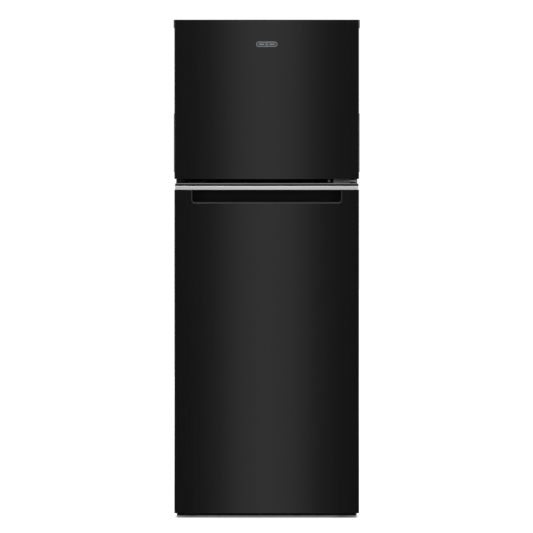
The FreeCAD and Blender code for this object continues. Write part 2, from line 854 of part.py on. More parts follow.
def roller_bracket(x):
    """A folded fork under the tray with its axle riveted through both cheeks."""
    made = Piece("roller_bracket", export=False)
    low, high = half_tread + CHEEK, half_tread + CHEEK + d.rail
    fore, aft = roller_y - BRACKET_LENGTH / 2, roller_y + BRACKET_LENGTH / 2
    under = d.cabinet_bottom - d.rail
    made.pad("Z", under, d.cabinet_bottom, box(x - high, x + high, fore, aft))
    for inner, outer in ((x - high, x - low), (x + low, x + high)):
        outline = [
            (roller_y - 8, d.roller_radius - 6),
            (roller_y + 8, d.roller_radius - 6),
            (aft, under),
            (fore, under),
        ]
        made.pad("X", inner, outer, outline)
    made.pad("X", x - high - 2, x + high + 2, ("circle", roller_y, d.roller_radius, d.axle))
    return made


roller("roller_left", -roller_x)
roller("roller_right", roller_x)
group("roller_brackets", [roller_bracket(-roller_x), roller_bracket(roller_x)])

comp_x = Size("0.0") + d.compressor_x
comp_y = rear - d.compressor_setback
comp_low = d.compressor_base + 2.5
shell_r = d.compressor_radius
seam = (comp_low + d.compressor_top) / 2
tray_top = d.cabinet_bottom + d.rail
MOUNT_X, MOUNT_Y = 78, 58

compressor = Piece("compressor")
compressor.turn(
    "Z",
    (comp_x, comp_y, 0),
    [
        (0, comp_low),
        (shell_r - 24, comp_low),
        (shell_r - 8, comp_low + 8),
        (shell_r, comp_low + 24),
        (shell_r, seam - 3),
        (shell_r + 4, seam - 3),
        (shell_r + 4, seam + 3),
        (shell_r, seam + 3),
        (shell_r, d.compressor_top - 30),
        (shell_r - 7, d.compressor_top - 12),
        (shell_r - 22, d.compressor_top - 3),
        (shell_r - 40, d.compressor_top),
        (0, d.compressor_top),
    ],
)
compressor.pad(
    "Z",
    d.compressor_base,
    comp_low,
    box(comp_x - MOUNT_X - 14, comp_x + MOUNT_X + 14, comp_y - MOUNT_Y - 12, comp_y + MOUNT_Y + 12),
)
group(
    "compressor_mounts",
    [
        rod("Z", (x, y, tray_top), d.compressor_base - tray_top, 10, "mount")
        for x in (comp_x - MOUNT_X, comp_x + MOUNT_X)
        for y in (comp_y - MOUNT_Y, comp_y + MOUNT_Y)
    ],
)

relay = Piece("relay_cover")
relay.pad(
    "Z", comp_low + 22, seam - 6, box(comp_x - shell_r - 34, comp_x - shell_r, comp_y - 28, comp_y + 28)
)
relay.round(4, lambda m, r: along(r, "Z") and near(m.x, comp_x - shell_r - 34))

niche_ceiling = d.niche_top - d.pan
DRIER_X, DRIER_LOW, DRIER_LENGTH, DRIER_RADIUS = 190, 80, 105, 9.5
drier_high = DRIER_LOW + DRIER_LENGTH
drier_y = comp_y + 62
BEND = 14
suction_x = comp_x + shell_r + 70
suction = tube(
    "suction_pipe",
    [
        (suction_x, drier_y, niche_ceiling),
        (suction_x, drier_y, 115),
        (suction_x, comp_y + 10, 115),
        (comp_x + shell_r - 10, comp_y + 10, 115),
    ],
    d.pipe,
    BEND,
)
sub_parts.append(suction)
group(
    "refrigerant_pipes",
    [
        tube(
            "discharge",
            [
                (comp_x + shell_r - 10, comp_y - 30, 165),
                (comp_x + shell_r + 65, comp_y - 30, 165),
                (comp_x + shell_r + 65, comp_y - 30, 100),
                (comp_x + shell_r + 65, comp_y - 70, 100),
                (inside, comp_y - 70, 100),
            ],
            d.pipe,
            BEND,
        ),
        tube(
            "liquid_line",
            [(inside, drier_y, 60), (DRIER_X, drier_y, 60), (DRIER_X, drier_y, DRIER_LOW)],
            d.pipe,
            BEND,
        ),
        rod("Z", (DRIER_X, drier_y, DRIER_LOW), DRIER_LENGTH, DRIER_RADIUS, "drier"),
        tube(
            "capillary",
            [
                (DRIER_X, drier_y, drier_high),
                (DRIER_X, drier_y, drier_high + 40),
                (DRIER_X - 45, drier_y, drier_high + 40),
                (DRIER_X - 45, drier_y, niche_ceiling),
            ],
            d.pipe / 2,
            10,
        ),
    ],
)

WATER_HEIGHT, WATER_WALL = 30, 2
water = Piece("condensate_pan")
water_box = (comp_x - 112, comp_x + 112, comp_y - 82, comp_y + 82)
water_top = d.compressor_top + WATER_HEIGHT
water.pad("Z", d.compressor_top, water_top, box(*water_box))
water.pocket(
    "Z",
    d.compressor_top + WATER_WALL,
    water_top,
    box(
        water_box[0] + WATER_WALL,
        water_box[1] - WATER_WALL,
        water_box[2] + WATER_WALL,
        water_box[3] - WATER_WALL,
    ),
)

GLAND_Z, GLAND_BORE, GLAND_HALF = 78, 4.5, 14
gland_x = 62.5 - side
gland = Piece("cord_gland")
gland.pad("Y", rear - 20, rear - 8, box(gland_x - GLAND_HALF, gland_x + GLAND_HALF, tray_top, GLAND_Z + 14))
gland.round(6, lambda m, r: along(r, "Y") and m.z > GLAND_Z)
gland.pad("Y", rear - 8, rear, ("circle", gland_x, GLAND_Z, GLAND_BORE + 4))
gland.pocket("Y", rear - 21, rear + 1, ("circle", gland_x, GLAND_Z, GLAND_BORE))

# ---------------------------------------------------------------- inside

DUCT_DEPTH = 18
FRAME_BAR = 16
GLASS_LAND = 7
PLAY = 0.2


def glazed_shelf(height, fore, aft):
    """A moulded frame whose rebate holds a sheet of tempered glass. Returns the frame and the glass."""
    half = cavity - d.shelf_side_gap
    high = height + d.shelf_frame
    frame = Piece("shelf_frame", export=False)
    frame.pad("Z", height, high, box(-half, half, fore, aft))
    frame.pocket(
        "Z",
        height,
        high,
        box(FRAME_BAR - half, half - FRAME_BAR, fore + FRAME_BAR + 8, aft - FRAME_BAR),
    )
    land = FRAME_BAR - GLASS_LAND
    frame.pocket(
        "Z",
        high - d.shelf_glass,
        high,
        box(land - half, half - land, fore + land + 8, aft - land),
    )
    land = land + PLAY
    glass = block(
        land - half, half - land, fore + land + 8, aft - land, high - d.shelf_glass, high, "glass"
    )
    return frame, glass


shelf_end = cavity_back - DUCT_DEPTH - 3
shelves = [glazed_shelf(height, shelf_start, shelf_end) for height in (cover_shelf, *SHELVES)]
shelves.append(glazed_shelf(freezer_shelf, shelf_start, cover_front - 3))
group("shelf_frames", [frame for frame, glass in shelves])
group("shelf_glass", [glass for frame, glass in shelves])

drawer_half = cavity - d.drawer_side_gap
drawer_low = d.fridge_floor + 2
drawer_back = hump_front - 5
LIP, LIP_INSET, LIP_HEIGHT = 14, 90, 24
drawer = Piece("crisper_drawer")
DRAWER_ROUND = 8
drawer.pad("Z", drawer_low, d.drawer_top, box(-drawer_half, drawer_half, shelf_start, drawer_back))
drawer.pocket(
    "Z",
    drawer_low + d.bin_wall,
    d.drawer_top,
    box(
        d.bin_wall - drawer_half,
        drawer_half - d.bin_wall,
        shelf_start + d.bin_wall,
        drawer_back - d.bin_wall,
    ),
)
drawer.round(
    DRAWER_ROUND - d.bin_wall,
    lambda m, r: along(r, "Z") and near(abs(m.x), drawer_half - d.bin_wall),
    grows=True,
)
drawer.round(DRAWER_ROUND, lambda m, r: along(r, "Z") and near(abs(m.x), drawer_half))
drawer.pad(
    "Y",
    shelf_start - LIP,
    shelf_start + 1,
    box(LIP_INSET - drawer_half, drawer_half - LIP_INSET, d.drawer_top - LIP_HEIGHT, d.drawer_top),
)
drawer.pocket(
    "Y",
    shelf_start - LIP + d.bin_wall,
    shelf_start,
    box(
        LIP_INSET + d.bin_wall - drawer_half,
        drawer_half - LIP_INSET - d.bin_wall,
        d.drawer_top - LIP_HEIGHT,
        d.drawer_top - d.bin_wall,
    ),
)

HOUSING_HALF, HOUSING_DEPTH, HOUSING_HEIGHT = 115, 150, 48
KNOB_SHAFT, KNOB_HOLE_DEPTH = 3, 16
housing_front = shelf_start - 45
housing_low = fridge_top - HOUSING_HEIGHT
dial_z = fridge_top - HOUSING_HEIGHT / 2 - 2
dials = {"fridge_knob": -62, "freezer_knob": -12}
plunger_at = 85
dike_back = front + d.dike_reach

housing = Piece("control_housing")
housing.pad(
    "X",
    -HOUSING_HALF,
    HOUSING_HALF,
    [
        (housing_front, housing_low + 4),
        (housing_front + 4, housing_low),
        (housing_front + HOUSING_DEPTH - 30, housing_low),
        (housing_front + HOUSING_DEPTH, housing_low + 25),
        (housing_front + HOUSING_DEPTH, fridge_top),
        (housing_front, fridge_top),
    ],
)
housing.pocket(
    "Y",
    housing_front,
    housing_front + KNOB_HOLE_DEPTH,
    *[("circle", x, dial_z, KNOB_SHAFT + d.turn_gap) for x in dials.values()],
)
housing.pocket(
    "Y",
    housing_front,
    housing_front + 34,
    ("circle", plunger_at, dial_z, d.plunger_radius + d.turn_gap),
)

for name, x in dials.items():
    knob = Piece(name)
    knob.turn(
        "Y",
        (x, 0, dial_z),
        [
            (housing_front - 16, 0),
            (housing_front - 16, d.knob_radius - 3),
            (housing_front - 14.5, d.knob_radius - 1.5),
            (housing_front - 0.5, d.knob_radius),
            (housing_front - 0.5, KNOB_SHAFT),
            (housing_front + 14, KNOB_SHAFT),
            (housing_front + 14, 0),
        ],
    )
    knob.pad("Y", housing_front - 19, housing_front - 15, box(x - 2, x + 2, dial_z - 11, dial_z + 13))

plunger = rod(
    "Y",
    (plunger_at, dike_back + 0.3, dial_z),
    housing_front + 30 - dike_back - 0.3,
    d.plunger_radius,
    "lamp_switch",
)
plunger.Label = "lamp_switch"
sub_parts.append(plunger)

DUCT_HALF, DUCT_LOW, DUCT_HIGH = 55, 40, 6
duct = Piece("air_duct")
duct_low, duct_high = hump_top + d.shelf_frame + DUCT_LOW, fridge_top - DUCT_HIGH
duct.pad(
    "Z",
    duct_low,
    duct_high,
    [
        (-DUCT_HALF, cavity_back),
        (10 - DUCT_HALF, cavity_back - DUCT_DEPTH),
        (DUCT_HALF - 10, cavity_back - DUCT_DEPTH),
        (DUCT_HALF, cavity_back),
    ],
)
OUTLET_HALF, OUTLET_HEIGHT, OUTLET_DEPTH = 34, 6, 8
outlets = []
for shelf in SHELVES:
    for rise in (45, 60, 75):
        low = shelf + d.shelf_frame + rise
        outlets.append(box(-OUTLET_HALF, OUTLET_HALF, low, low + OUTLET_HEIGHT))
duct.pocket("Y", cavity_back - DUCT_DEPTH, cavity_back - DUCT_DEPTH + OUTLET_DEPTH, *outlets)

COVER_THICK = 3
SLOT_PITCH = 11
cover_panel = Piece("evaporator_cover")
cover_panel.pad(
    "Y",
    cover_front,
    cover_front + COVER_THICK,
    box(1 - cavity, cavity - 1, freezer_floor + 1, freezer_top - 1),
)
cover_panel.round(d.cavity_round, lambda m, r: along(r, "Y"))
cover_panel.pad(
    "Y",
    cover_front + COVER_THICK,
    cavity_back,
    *both_sides(cavity - 20, cavity - 1, freezer_floor + 30, freezer_floor + 33),
)
fan_z = freezer_top - d.fan_drop
FAN_SLOT_HALF, RETURN_SLOT_HALF, RETURN_PITCH, RETURN_INSET = 2.5, 3, 14, 47.5
zero = Size("0.0")
slots = []
for n in range(-4, 5):
    reach = math.sqrt((mm(d.fan_radius) - 6) ** 2 - (n * SLOT_PITCH) ** 2)
    z = fan_z + n * SLOT_PITCH
    slots.append(box(zero - reach, zero + reach, z - FAN_SLOT_HALF, z + FAN_SLOT_HALF))
return_count = int((mm(cavity) - RETURN_INSET) / RETURN_PITCH)
for n in range(return_count):
    at = cavity - RETURN_INSET - n * RETURN_PITCH
    slots += both_sides(
        at - RETURN_SLOT_HALF, at + RETURN_SLOT_HALF, freezer_floor + 8, freezer_floor + 24
    )
cover_panel.pocket("Y", cover_front, cover_front + COVER_THICK, *slots)

ROW_PITCH, COIL_BEND, COIL_SIDE_GAP, FAN_CLEAR = 26, 12.9, 52.5, 40
coil_y = cover_front + 42
coil_low = freezer_floor + 45
coil_half = cavity - COIL_SIDE_GAP
coil_rows = int((mm(fan_z - d.fan_radius - coil_low) - FAN_CLEAR) / ROW_PITCH) + 1


def coil_points():
    """The serpentine's corners, from the lowest row to the highest."""
    points = []
    for row in range(coil_rows):
        z = coil_low + row * ROW_PITCH
        ends = (-coil_half, coil_half) if row % 2 == 0 else (coil_half, -coil_half)
        points += [(x, coil_y, z) for x in ends]
    return points


coil_top = coil_low + (coil_rows - 1) * ROW_PITCH
end_plates = []
PLATE_INSET, PLATE_HALF, PLATE_DEPTH = 22, 0.6, 24
for x in (-coil_half + PLATE_INSET, coil_half - PLATE_INSET):
    plate = Piece("end_plate", export=False)
    plate.pad(
        "X",
        x - PLATE_HALF,
        x + PLATE_HALF,
        box(coil_y - PLATE_DEPTH, coil_y + PLATE_DEPTH, freezer_floor + 33, coil_top + 14),
    )
    holes = [
        ("circle", coil_y, coil_low + row * ROW_PITCH, d.pipe * 1.25 + 0.05)
        for row in range(coil_rows)
    ]
    plate.pocket("X", x - 1, x + 1, *holes)
    end_plates.append(plate)
group("evaporator", [tube("coil", coil_points(), d.pipe * 1.25, COIL_BEND), *end_plates])

SHAFT, BLADE_COUNT = 2, 5
rotor_y = cover_front + 20
motor = Piece("fan_motor")
motor.turn(
    "Y",
    (0, 0, fan_z),
    [
        (rotor_y - 6, 0),
        (rotor_y - 6, SHAFT),
        (rotor_y + 12, SHAFT),
        (rotor_y + 12, 22),
        (rotor_y + 38, 22),
        (rotor_y + 38, 0),
    ],
)
motor.pad(
    "Y",
    rotor_y + 30,
    rotor_y + 32,
    box(-d.fan_radius - 14, d.fan_radius + 14, fan_z - 7, fan_z + 7),
)
motor.pad(
    "Y",
    cover_front + COVER_THICK,
    rotor_y + 31,
    *both_sides(d.fan_radius + 8, d.fan_radius + 14, fan_z - 7, fan_z + 7),
)

rotor = Piece("fan_rotor")
rotor.turn(
    "Y",
    (0, 0, fan_z),
    [
        (rotor_y - 8, SHAFT + d.turn_gap),
        (rotor_y + 8, SHAFT + d.turn_gap),
        (rotor_y + 8, 14),
        (rotor_y - 8, 12),
    ],
)
hub = rotor.body.Tip.Profile[0]
rotor.pad(
    "Z",
    fan_z + 10,
    fan_z + d.fan_radius,
    [(-13, rotor_y + 6), (-13, rotor_y + 4.4), (13, rotor_y - 6), (13, rotor_y - 4.4)],
)
blade = rotor.body.Tip
pattern = rotor.body.newObject("PartDesign::PolarPattern", "blades")
pattern.Originals = [blade]
pattern.Axis = (hub, ["H_Axis"])
pattern.Angle = 360
pattern.Occurrences = BLADE_COUNT
rotor.body.Tip = pattern
rotor.settle(True)

# ---------------------------------------------------------------- doors


def cap(label, side_at, top, bottom, bush_end, sign, nose, cheek):
    """A door's moulded end cap: a plate with a boss round the hinge bush, on the skin's end."""
    made = Piece(label)
    made.pad("Z", bottom, top, box(-side_at, side_at, nose, door_back))
    made.round(d.skin_round, lambda m, r: along(r, "Z") and near(m.y, nose))
    low = bush_end if sign > 0 else bush_end - d.bush_length - d.cap_plate
    made.pad("Z", low, low + d.bush_length + d.cap_plate, ("circle", pin_x, pin_y, d.boss_radius))
    if cheek:
        made.pad(
            "Z",
            top - d.cheek_height,
            top,
            *both_sides(side, side + d.cheek_proud, skin_front + 3, door_back - 2),
        )
    made.pocket("Z", *span(bush_end, sign, d.bush_length), ("circle", pin_x, pin_y, d.bush_radius))
    return made


def span(end, sign, length):
    """From a door's end into the door: the low and the high of that length."""
    return (end, end + length) if sign > 0 else (end - length, end)


def bush(end, sign, flange):
    """A door bush: its sleeve goes into the cap and its flange runs on the hinge plate."""
    made = Piece("bush", export=False)
    made.pad("Z", *span(end, sign, d.bush_length), ("circle", pin_x, pin_y, d.bush_radius))
    made.pad("Z", *span(end, -sign, flange), ("circle", pin_x, pin_y, d.bush_radius + 2.5))
    low = end - flange - 1 if sign > 0 else end - d.bush_length - 1
    high = low + d.bush_length + flange + 2
    made.pocket("Z", low, high, ("circle", pin_x, pin_y, d.pin_radius + d.turn_gap))
    return made


def door_skin(label, low, high):
    """The front and both sides of a door in one painted sheet."""
    made = Piece(label)
    made.pad("Z", low, high, box(-side, side, skin_front, door_back))
    made.pocket("Z", low, high, box(-inside, inside, skin_front + d.steel, door_back))
    made.round(
        d.skin_round - d.steel,
        lambda m, r: along(r, "Z") and near(m.y, skin_front + d.steel),
        grows=True,
    )
    made.round(d.skin_round, lambda m, r: along(r, "Z") and near(m.y, skin_front))
    return made


def door_foam(label, low, high, dike):
    """The insulation between skin and door liner, with its ring inside the liner's dike."""
    made = Piece(label)
    made.pad("Z", low, high, box(-inside, inside, skin_front + d.steel, door_back - d.liner))
    made.round(
        d.skin_round - d.steel, lambda m, r: along(r, "Z") and near(m.y, skin_front + d.steel)
    )
    made.pad("Y", door_back - d.liner, dike_back - d.liner, *dike_loops(dike, d.liner))
    return made


def dike_loops(dike, wall):
    """The dike's ring, its outline and its opening, with both faces moved in by wall."""
    low, high = dike
    outer = dike_side - wall
    inner = dike_side - d.dike_width + wall
    far, close = wall, d.dike_width - wall
    return [
        box(-outer, outer, low + far, high - far),
        box(-inner, inner, low + close, high - close),
    ]


def door_liner(label, low, high, dike):
    """The thermoformed inner face of a door: a flange and a raised dike round the bins."""
    made = Piece(label)
    made.pad("Y", door_back - d.liner, door_back, box(-inside, inside, low, high))
    made.pad("Y", door_back, dike_back, *dike_loops(dike, 0))
    made.round(5, lambda m, r: near(m.y, dike_back) and (along(r, "X") or along(r, "Z")))
    made.pocket("Y", door_back - d.liner, dike_back - d.liner, *dike_loops(dike, d.liner))
    return made


def gasket(label, low, high):
    """A flexible magnetic seal, clipped round the liner's flange."""
    made = Piece(label)
    outer = side - d.gasket_inset
    inner = outer - d.gasket_width
    made.pad(
        "Y",
        door_back,
        front,
        box(-outer, outer, low, high),
        box(-inner, inner, low + d.gasket_width, high - d.gasket_width),
    )
    return made


BIN_ROUND = 14


def door_bin(low, height):
    """A clear bin between the dike's sides."""
    half = dike_side - d.dike_width
    made = Piece("bin", export=False)
    far = front + d.bin_reach
    made.pad("Z", low, low + height, box(-half, half, door_back, far))
    made.pocket(
        "Z",
        low + d.bin_wall,
        low + height,
        box(d.bin_wall - half, half - d.bin_wall, door_back + d.bin_wall, far - d.bin_wall),
    )
    made.round(
        BIN_ROUND - d.bin_wall,
        lambda m, r: along(r, "Z") and near(m.y, far - d.bin_wall),
        grows=True,
    )
    made.round(BIN_ROUND, lambda m, r: along(r, "Z") and near(m.y, far))
    return made


# freezer door
freezer_low = freezer_door_low + d.cap_plate
freezer_high = freezer_door_top - d.cap_plate
freezer_dike = (freezer_floor + d.dike_gap, freezer_top - d.dike_gap)
grip_span = (skin_front + d.grip_front, door_back - d.grip_rear)

cap("freezer_top_cap", side, freezer_door_top, freezer_high, freezer_door_top, -1, skin_front, True)
cap("freezer_bottom_cap", side, freezer_low, freezer_door_low, freezer_door_low, 1, skin_front, False)
skin = door_skin("freezer_skin", freezer_low, freezer_high)
skin.pocket("X", -side - 1, side + 1, box(*grip_span, grip_low, grip_high))
filling = door_foam("freezer_foam", freezer_low, freezer_high, freezer_dike)
for low, high in ((side - d.grip_depth, side), (-side, d.grip_depth - side)):
    filling.pocket("X", low, high, box(*grip_span, grip_low, grip_high))
for end, sign in ((freezer_door_top, -1), (freezer_door_low, 1)):
    filling.pocket(
        "Z", *span(end, sign, d.bush_length + d.cap_plate), ("circle", pin_x, pin_y, d.boss_radius)
    )
door_liner("freezer_door_liner", freezer_low, freezer_high, freezer_dike)
gasket("freezer_gasket", freezer_door_low + d.gasket_lift, freezer_door_top - d.gasket_far_top)


def grip(sign):
    """A finger recess let into the door's side, with a thin lip outside the skin."""
    made = Piece("grip", export=False)
    fore, aft = grip_span
    deep, lip = side - d.grip_depth, side + d.grip_proud
    reach = (deep, lip) if sign > 0 else (-lip, -deep)
    made.pad("X", *reach, box(fore, aft, grip_low, grip_high))
    mouth = (deep + d.grip_wall, lip) if sign > 0 else (-lip, -deep - d.grip_wall)
    made.pocket(
        "X",
        *mouth,
        box(
            fore + d.grip_wall,
            aft - d.grip_wall,
            grip_low + d.grip_wall,
            grip_high - d.grip_wall,
        ),
    )
    return made


group("freezer_grips", [grip(-1), grip(1)])
group(
    "freezer_bushes",
    [
        bush(freezer_door_top, -1, top_plate_low - freezer_door_top - d.hinge_gap),
        bush(freezer_door_low, 1, freezer_door_low - middle_plate_top - d.hinge_gap),
    ],
)
group("freezer_door_bins", [door_bin(freezer_shelf - 150, 85), door_bin(freezer_shelf + 35, 85)])

BADGE_HALF, BADGE_HEIGHT, BADGE_DROP, BADGE_THICK = 34, 16, 79.7, 1.2
badge = Piece("badge")
badge_z = freezer_door_top - BADGE_DROP
badge.pad(
    "Y",
    skin_front - BADGE_THICK,
    skin_front,
    box(-BADGE_HALF, BADGE_HALF, badge_z - BADGE_HEIGHT / 2, badge_z + BADGE_HEIGHT / 2),
)
badge.round(BADGE_HEIGHT / 2 - 0.2, lambda m, r: along(r, "Y"))

# fridge door
fridge_low = d.fridge_door_low + d.foot_cap
trim = side - d.strip_inset
trim_wall = 2.5
pocket_low = strip_low - d.pocket_height
strip_rear = skin_front + d.strip_back
fridge_dike = (d.fridge_floor + d.dike_gap, fridge_top - d.dike_gap)
pocket_far = skin_front + d.pocket_depth + d.pocket_wall
pocket_high = strip_low + d.pocket_undercut + d.pocket_wall

strip = Piece("handle_strip")
strip.pad("Y", -back, strip_rear, box(-trim, trim, strip_low, strip_top))
strip.round(1.2, lambda m, r: along(r, "X") and near(m.y, -back))
strip.round(2, lambda m, r: along(r, "Z") and near(m.y, -back))

fridge_cap = cap(
    "fridge_top_cap",
    trim,
    fridge_door_top,
    fridge_door_top - d.cap_plate,
    fridge_door_top,
    -1,
    skin_front + d.cap_slope,
    False,
)
fridge_cap.pad(
    "X",
    -trim,
    trim,
    [
        (skin_front, strip_top),
        (strip_rear, strip_top),
        (strip_rear, strip_low),
        (strip_rear + trim_wall, strip_low),
        (strip_rear + trim_wall, fridge_door_top - d.cap_plate),
        (skin_front + d.cap_slope, fridge_door_top - d.cap_plate),
        (skin_front, fridge_door_top - d.cap_slope),
    ],
)
fridge_cap.pad(
    "Z",
    strip_low,
    fridge_door_top - d.cap_plate,
    *both_sides(trim - trim_wall, trim, strip_rear, door_back - d.liner),
)
foot_cap = cap(
    "fridge_bottom_cap",
    side,
    fridge_low,
    d.fridge_door_low,
    d.fridge_door_low,
    1,
    skin_front,
    False,
)
foot_cap.round(d.foot_round, lambda m, r: on_line(m, r, side, d.fridge_door_low))


def mouth_corner(middle, run):
    return on_line(middle, run, pocket_half, pocket_low)


skin = door_skin("fridge_skin", fridge_low, strip_low)
skin.pocket(
    "Y",
    skin_front,
    skin_front + d.steel,
    box(-pocket_half, pocket_half, pocket_low, strip_low),
)
skin.round(d.pocket_round, mouth_corner, grows=True)

pocket_outline = [
    (skin_front, pocket_low),
    (pocket_far, pocket_low),
    (pocket_far, pocket_high),
    (strip_rear + trim_wall, pocket_high),
    (strip_rear + trim_wall, strip_low),
    (skin_front, strip_low),
]
handle = Piece("handle_pocket")
handle.pad("X", -pocket_half, pocket_half, pocket_outline)
handle.round(d.pocket_round, mouth_corner)
pocket_inside = pocket_half - d.pocket_wall
handle.pocket(
    "X",
    -pocket_inside,
    pocket_inside,
    [
        (skin_front, pocket_low + d.pocket_wall),
        (skin_front + d.pocket_depth, pocket_low + d.pocket_wall),
        (skin_front + d.pocket_depth, strip_low + d.pocket_undercut),
        (strip_rear + trim_wall, strip_low + d.pocket_undercut),
        (strip_rear + trim_wall, strip_low),
        (skin_front, strip_low),
    ],
)
handle.round(
    d.pocket_round - d.pocket_wall,
    lambda m, r: on_line(m, r, pocket_inside, pocket_low + d.pocket_wall),
    grows=True,
)
mouth = [
    f"Edge{n}"
    for n, edge in enumerate(handle.body.Tip.Shape.Edges, start=1)
    if near(edge.BoundBox.YMin, skin_front)
    and near(edge.BoundBox.YMax, skin_front)
    and edge.BoundBox.ZMin > mm(pocket_low + d.pocket_wall) - 0.01
    and edge.BoundBox.ZMax < mm(strip_low) + 0.01
    and max(abs(edge.BoundBox.XMin), abs(edge.BoundBox.XMax)) < mm(pocket_inside) + 0.01
]
handle.fillet(d.pocket_rim, mouth, grows=False)

filling = door_foam("fridge_foam", fridge_low, strip_low, fridge_dike)
filling.pad(
    "Z",
    strip_low,
    fridge_door_top - d.cap_plate,
    box(trim_wall - trim, trim - trim_wall, strip_rear + trim_wall, door_back - d.liner),
)
filling.pocket("X", -pocket_half, pocket_half, pocket_outline)
filling.round(d.pocket_round, mouth_corner, grows=True)
for end, sign in ((fridge_door_top, -1), (d.fridge_door_low, 1)):
    filling.pocket(
        "Z", *span(end, sign, d.bush_length + d.cap_plate), ("circle", pin_x, pin_y, d.boss_radius)
    )
door_liner("fridge_door_liner", fridge_low, fridge_door_top - d.cap_plate, fridge_dike)
gasket("fridge_gasket", d.fridge_door_low + d.gasket_far_low, fridge_door_top - d.gasket_near)
group(
    "fridge_bushes",
    [
        bush(fridge_door_top, -1, middle_plate_low - fridge_door_top - d.hinge_gap),
        bush(d.fridge_door_low, 1, d.fridge_door_low - bottom_plate_top - d.hinge_gap),
    ],
)
BIN_HEIGHT, BOTTLE_HEIGHT = 85, 120
BIN_RISES = (-90, -64, -37)
group(
    "fridge_door_bins",
    [
        door_bin(d.fridge_floor + 48, BOTTLE_HEIGHT),
        *[door_bin(shelf + rise, BIN_HEIGHT) for shelf, rise in zip(SHELVES, BIN_RISES)],
    ],
)

# ---------------------------------------------------------------- write one file for each sub-part

doc.recompute()
for item in doc.Objects:
    if "Invalid" in item.State or "Error" in item.State:
        raise ValueError(f"{item.Label} failed")
os.makedirs("parts", exist_ok=True)
for item in sub_parts:
    if item.Shape.isNull() or not item.Shape.isValid():
        raise ValueError(f"{item.Label} has no valid shape")
    item.Shape.exportStep(f"parts/{item.Label}.step")
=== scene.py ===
import bmesh
import bpy
import math
from mathutils import Matrix, Vector


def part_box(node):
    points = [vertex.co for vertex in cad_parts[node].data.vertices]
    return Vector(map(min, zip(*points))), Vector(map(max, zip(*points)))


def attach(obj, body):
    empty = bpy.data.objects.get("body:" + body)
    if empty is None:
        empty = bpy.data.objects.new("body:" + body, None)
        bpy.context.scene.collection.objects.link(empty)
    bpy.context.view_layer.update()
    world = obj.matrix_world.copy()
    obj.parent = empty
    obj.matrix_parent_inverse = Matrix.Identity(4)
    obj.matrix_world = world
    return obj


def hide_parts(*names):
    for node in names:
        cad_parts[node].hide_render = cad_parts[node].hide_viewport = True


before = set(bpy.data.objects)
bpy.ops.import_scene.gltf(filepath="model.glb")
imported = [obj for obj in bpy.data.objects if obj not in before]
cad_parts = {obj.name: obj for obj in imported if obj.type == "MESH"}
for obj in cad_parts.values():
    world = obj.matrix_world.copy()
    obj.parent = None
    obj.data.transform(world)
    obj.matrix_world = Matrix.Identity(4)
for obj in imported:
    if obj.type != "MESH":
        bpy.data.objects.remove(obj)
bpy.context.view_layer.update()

MM = 0.001

# ---------------------------------------------------------------- cabinet wrapper and back
# One steel sheet is bent over the two sides and the top, and its front edges are folded in as the
# flanges that the gaskets meet. The back panel closes it. Both are powder-coated black before
# bending, with a fine leathery texture that hides fingerprints.


def linear(hex_colour):
    """An sRGB colour such as "#1a2b3c" as linear red, green, blue and full alpha."""
    parts = [int(hex_colour[i : i + 2], 16) / 255 for i in (1, 3, 5)]
    return [c / 12.92 if c <= 0.04045 else ((c + 0.055) / 1.055) ** 2.4 for c in parts] + [1.0]


def add(tree, kind, inputs=None, **settings):
    """Adds a node. Each input gets a value, or a link when it is given another node's output."""
    node = tree.nodes.new(kind)
    for name, value in settings.items():
        setattr(node, name, value)
    for name, value in (inputs or {}).items():
        if isinstance(value, bpy.types.NodeSocket):
            tree.links.new(value, node.inputs[name])
        else:
            node.inputs[name].default_value = value
    return node


def new_finish(name):
    """An empty node material, its tree and its object coordinates in metres."""
    material = bpy.data.materials.new(name)
    material.use_nodes = True
    tree = material.node_tree
    tree.nodes.clear()
    place = add(tree, "ShaderNodeTexCoord").outputs["Object"]
    return material, tree, place


def surface(tree, inputs):
    """Ends a material with a Principled surface that has these inputs."""
    shader = add(tree, "ShaderNodeBsdfPrincipled", inputs)
    add(tree, "ShaderNodeOutputMaterial", {"Surface": shader.outputs["BSDF"]})


def grained(name, dark, light, gloss, grain, depth, pattern="ShaderNodeTexNoise", **sockets):
    """A surface whose grain, of a real size and depth, shades its colour, gloss and relief."""
    material, tree, place = new_finish(name)
    texture = add(tree, pattern, {"Vector": place, "Scale": 1 / grain, "Detail": 3.0})
    height = texture.outputs["Fac" if pattern == "ShaderNodeTexNoise" else "Distance"]
    colour = add(
        tree,
        "ShaderNodeMix",
        {"Factor": height, 6: linear(dark), 7: linear(light)},
        data_type="RGBA",
    )
    rough = add(
        tree,
        "ShaderNodeMapRange",
        {"Value": height, "To Min": gloss - 0.06, "To Max": gloss + 0.06},
    )
    relief = add(tree, "ShaderNodeBump", {"Height": height, "Strength": 1.0, "Distance": depth})
    inputs = {"Base Color": colour.outputs[2], "Roughness": rough.outputs[0]}
    inputs["Normal"] = relief.outputs[0]
    inputs.update({word.replace("_", " "): value for word, value in sockets.items()})
    surface(tree, inputs)
    return material


def dress(material, *nodes):
    """Gives CAD nodes a material, in their objects' slots."""
    for name in nodes:
        for material_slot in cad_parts[name].material_slots:
            material_slot.material = material


# Polyester powder coat on steel: low black bumps that break the light into soft specks.
powder_coat = grained(
    "textured_powder_coat", "#0f0f10", "#1b1b1c", 0.5, 1.1 * MM, 0.05 * MM, IOR=1.5
)
dress(powder_coat, "cabinet_wrapper", "rear_panel")

# ---------------------------------------------------------------- insulation
# Polyurethane is foamed in place between the steel and the liners, in the cabinet and in both
# doors. It sets in one piece, and it only shows where a cover is off.

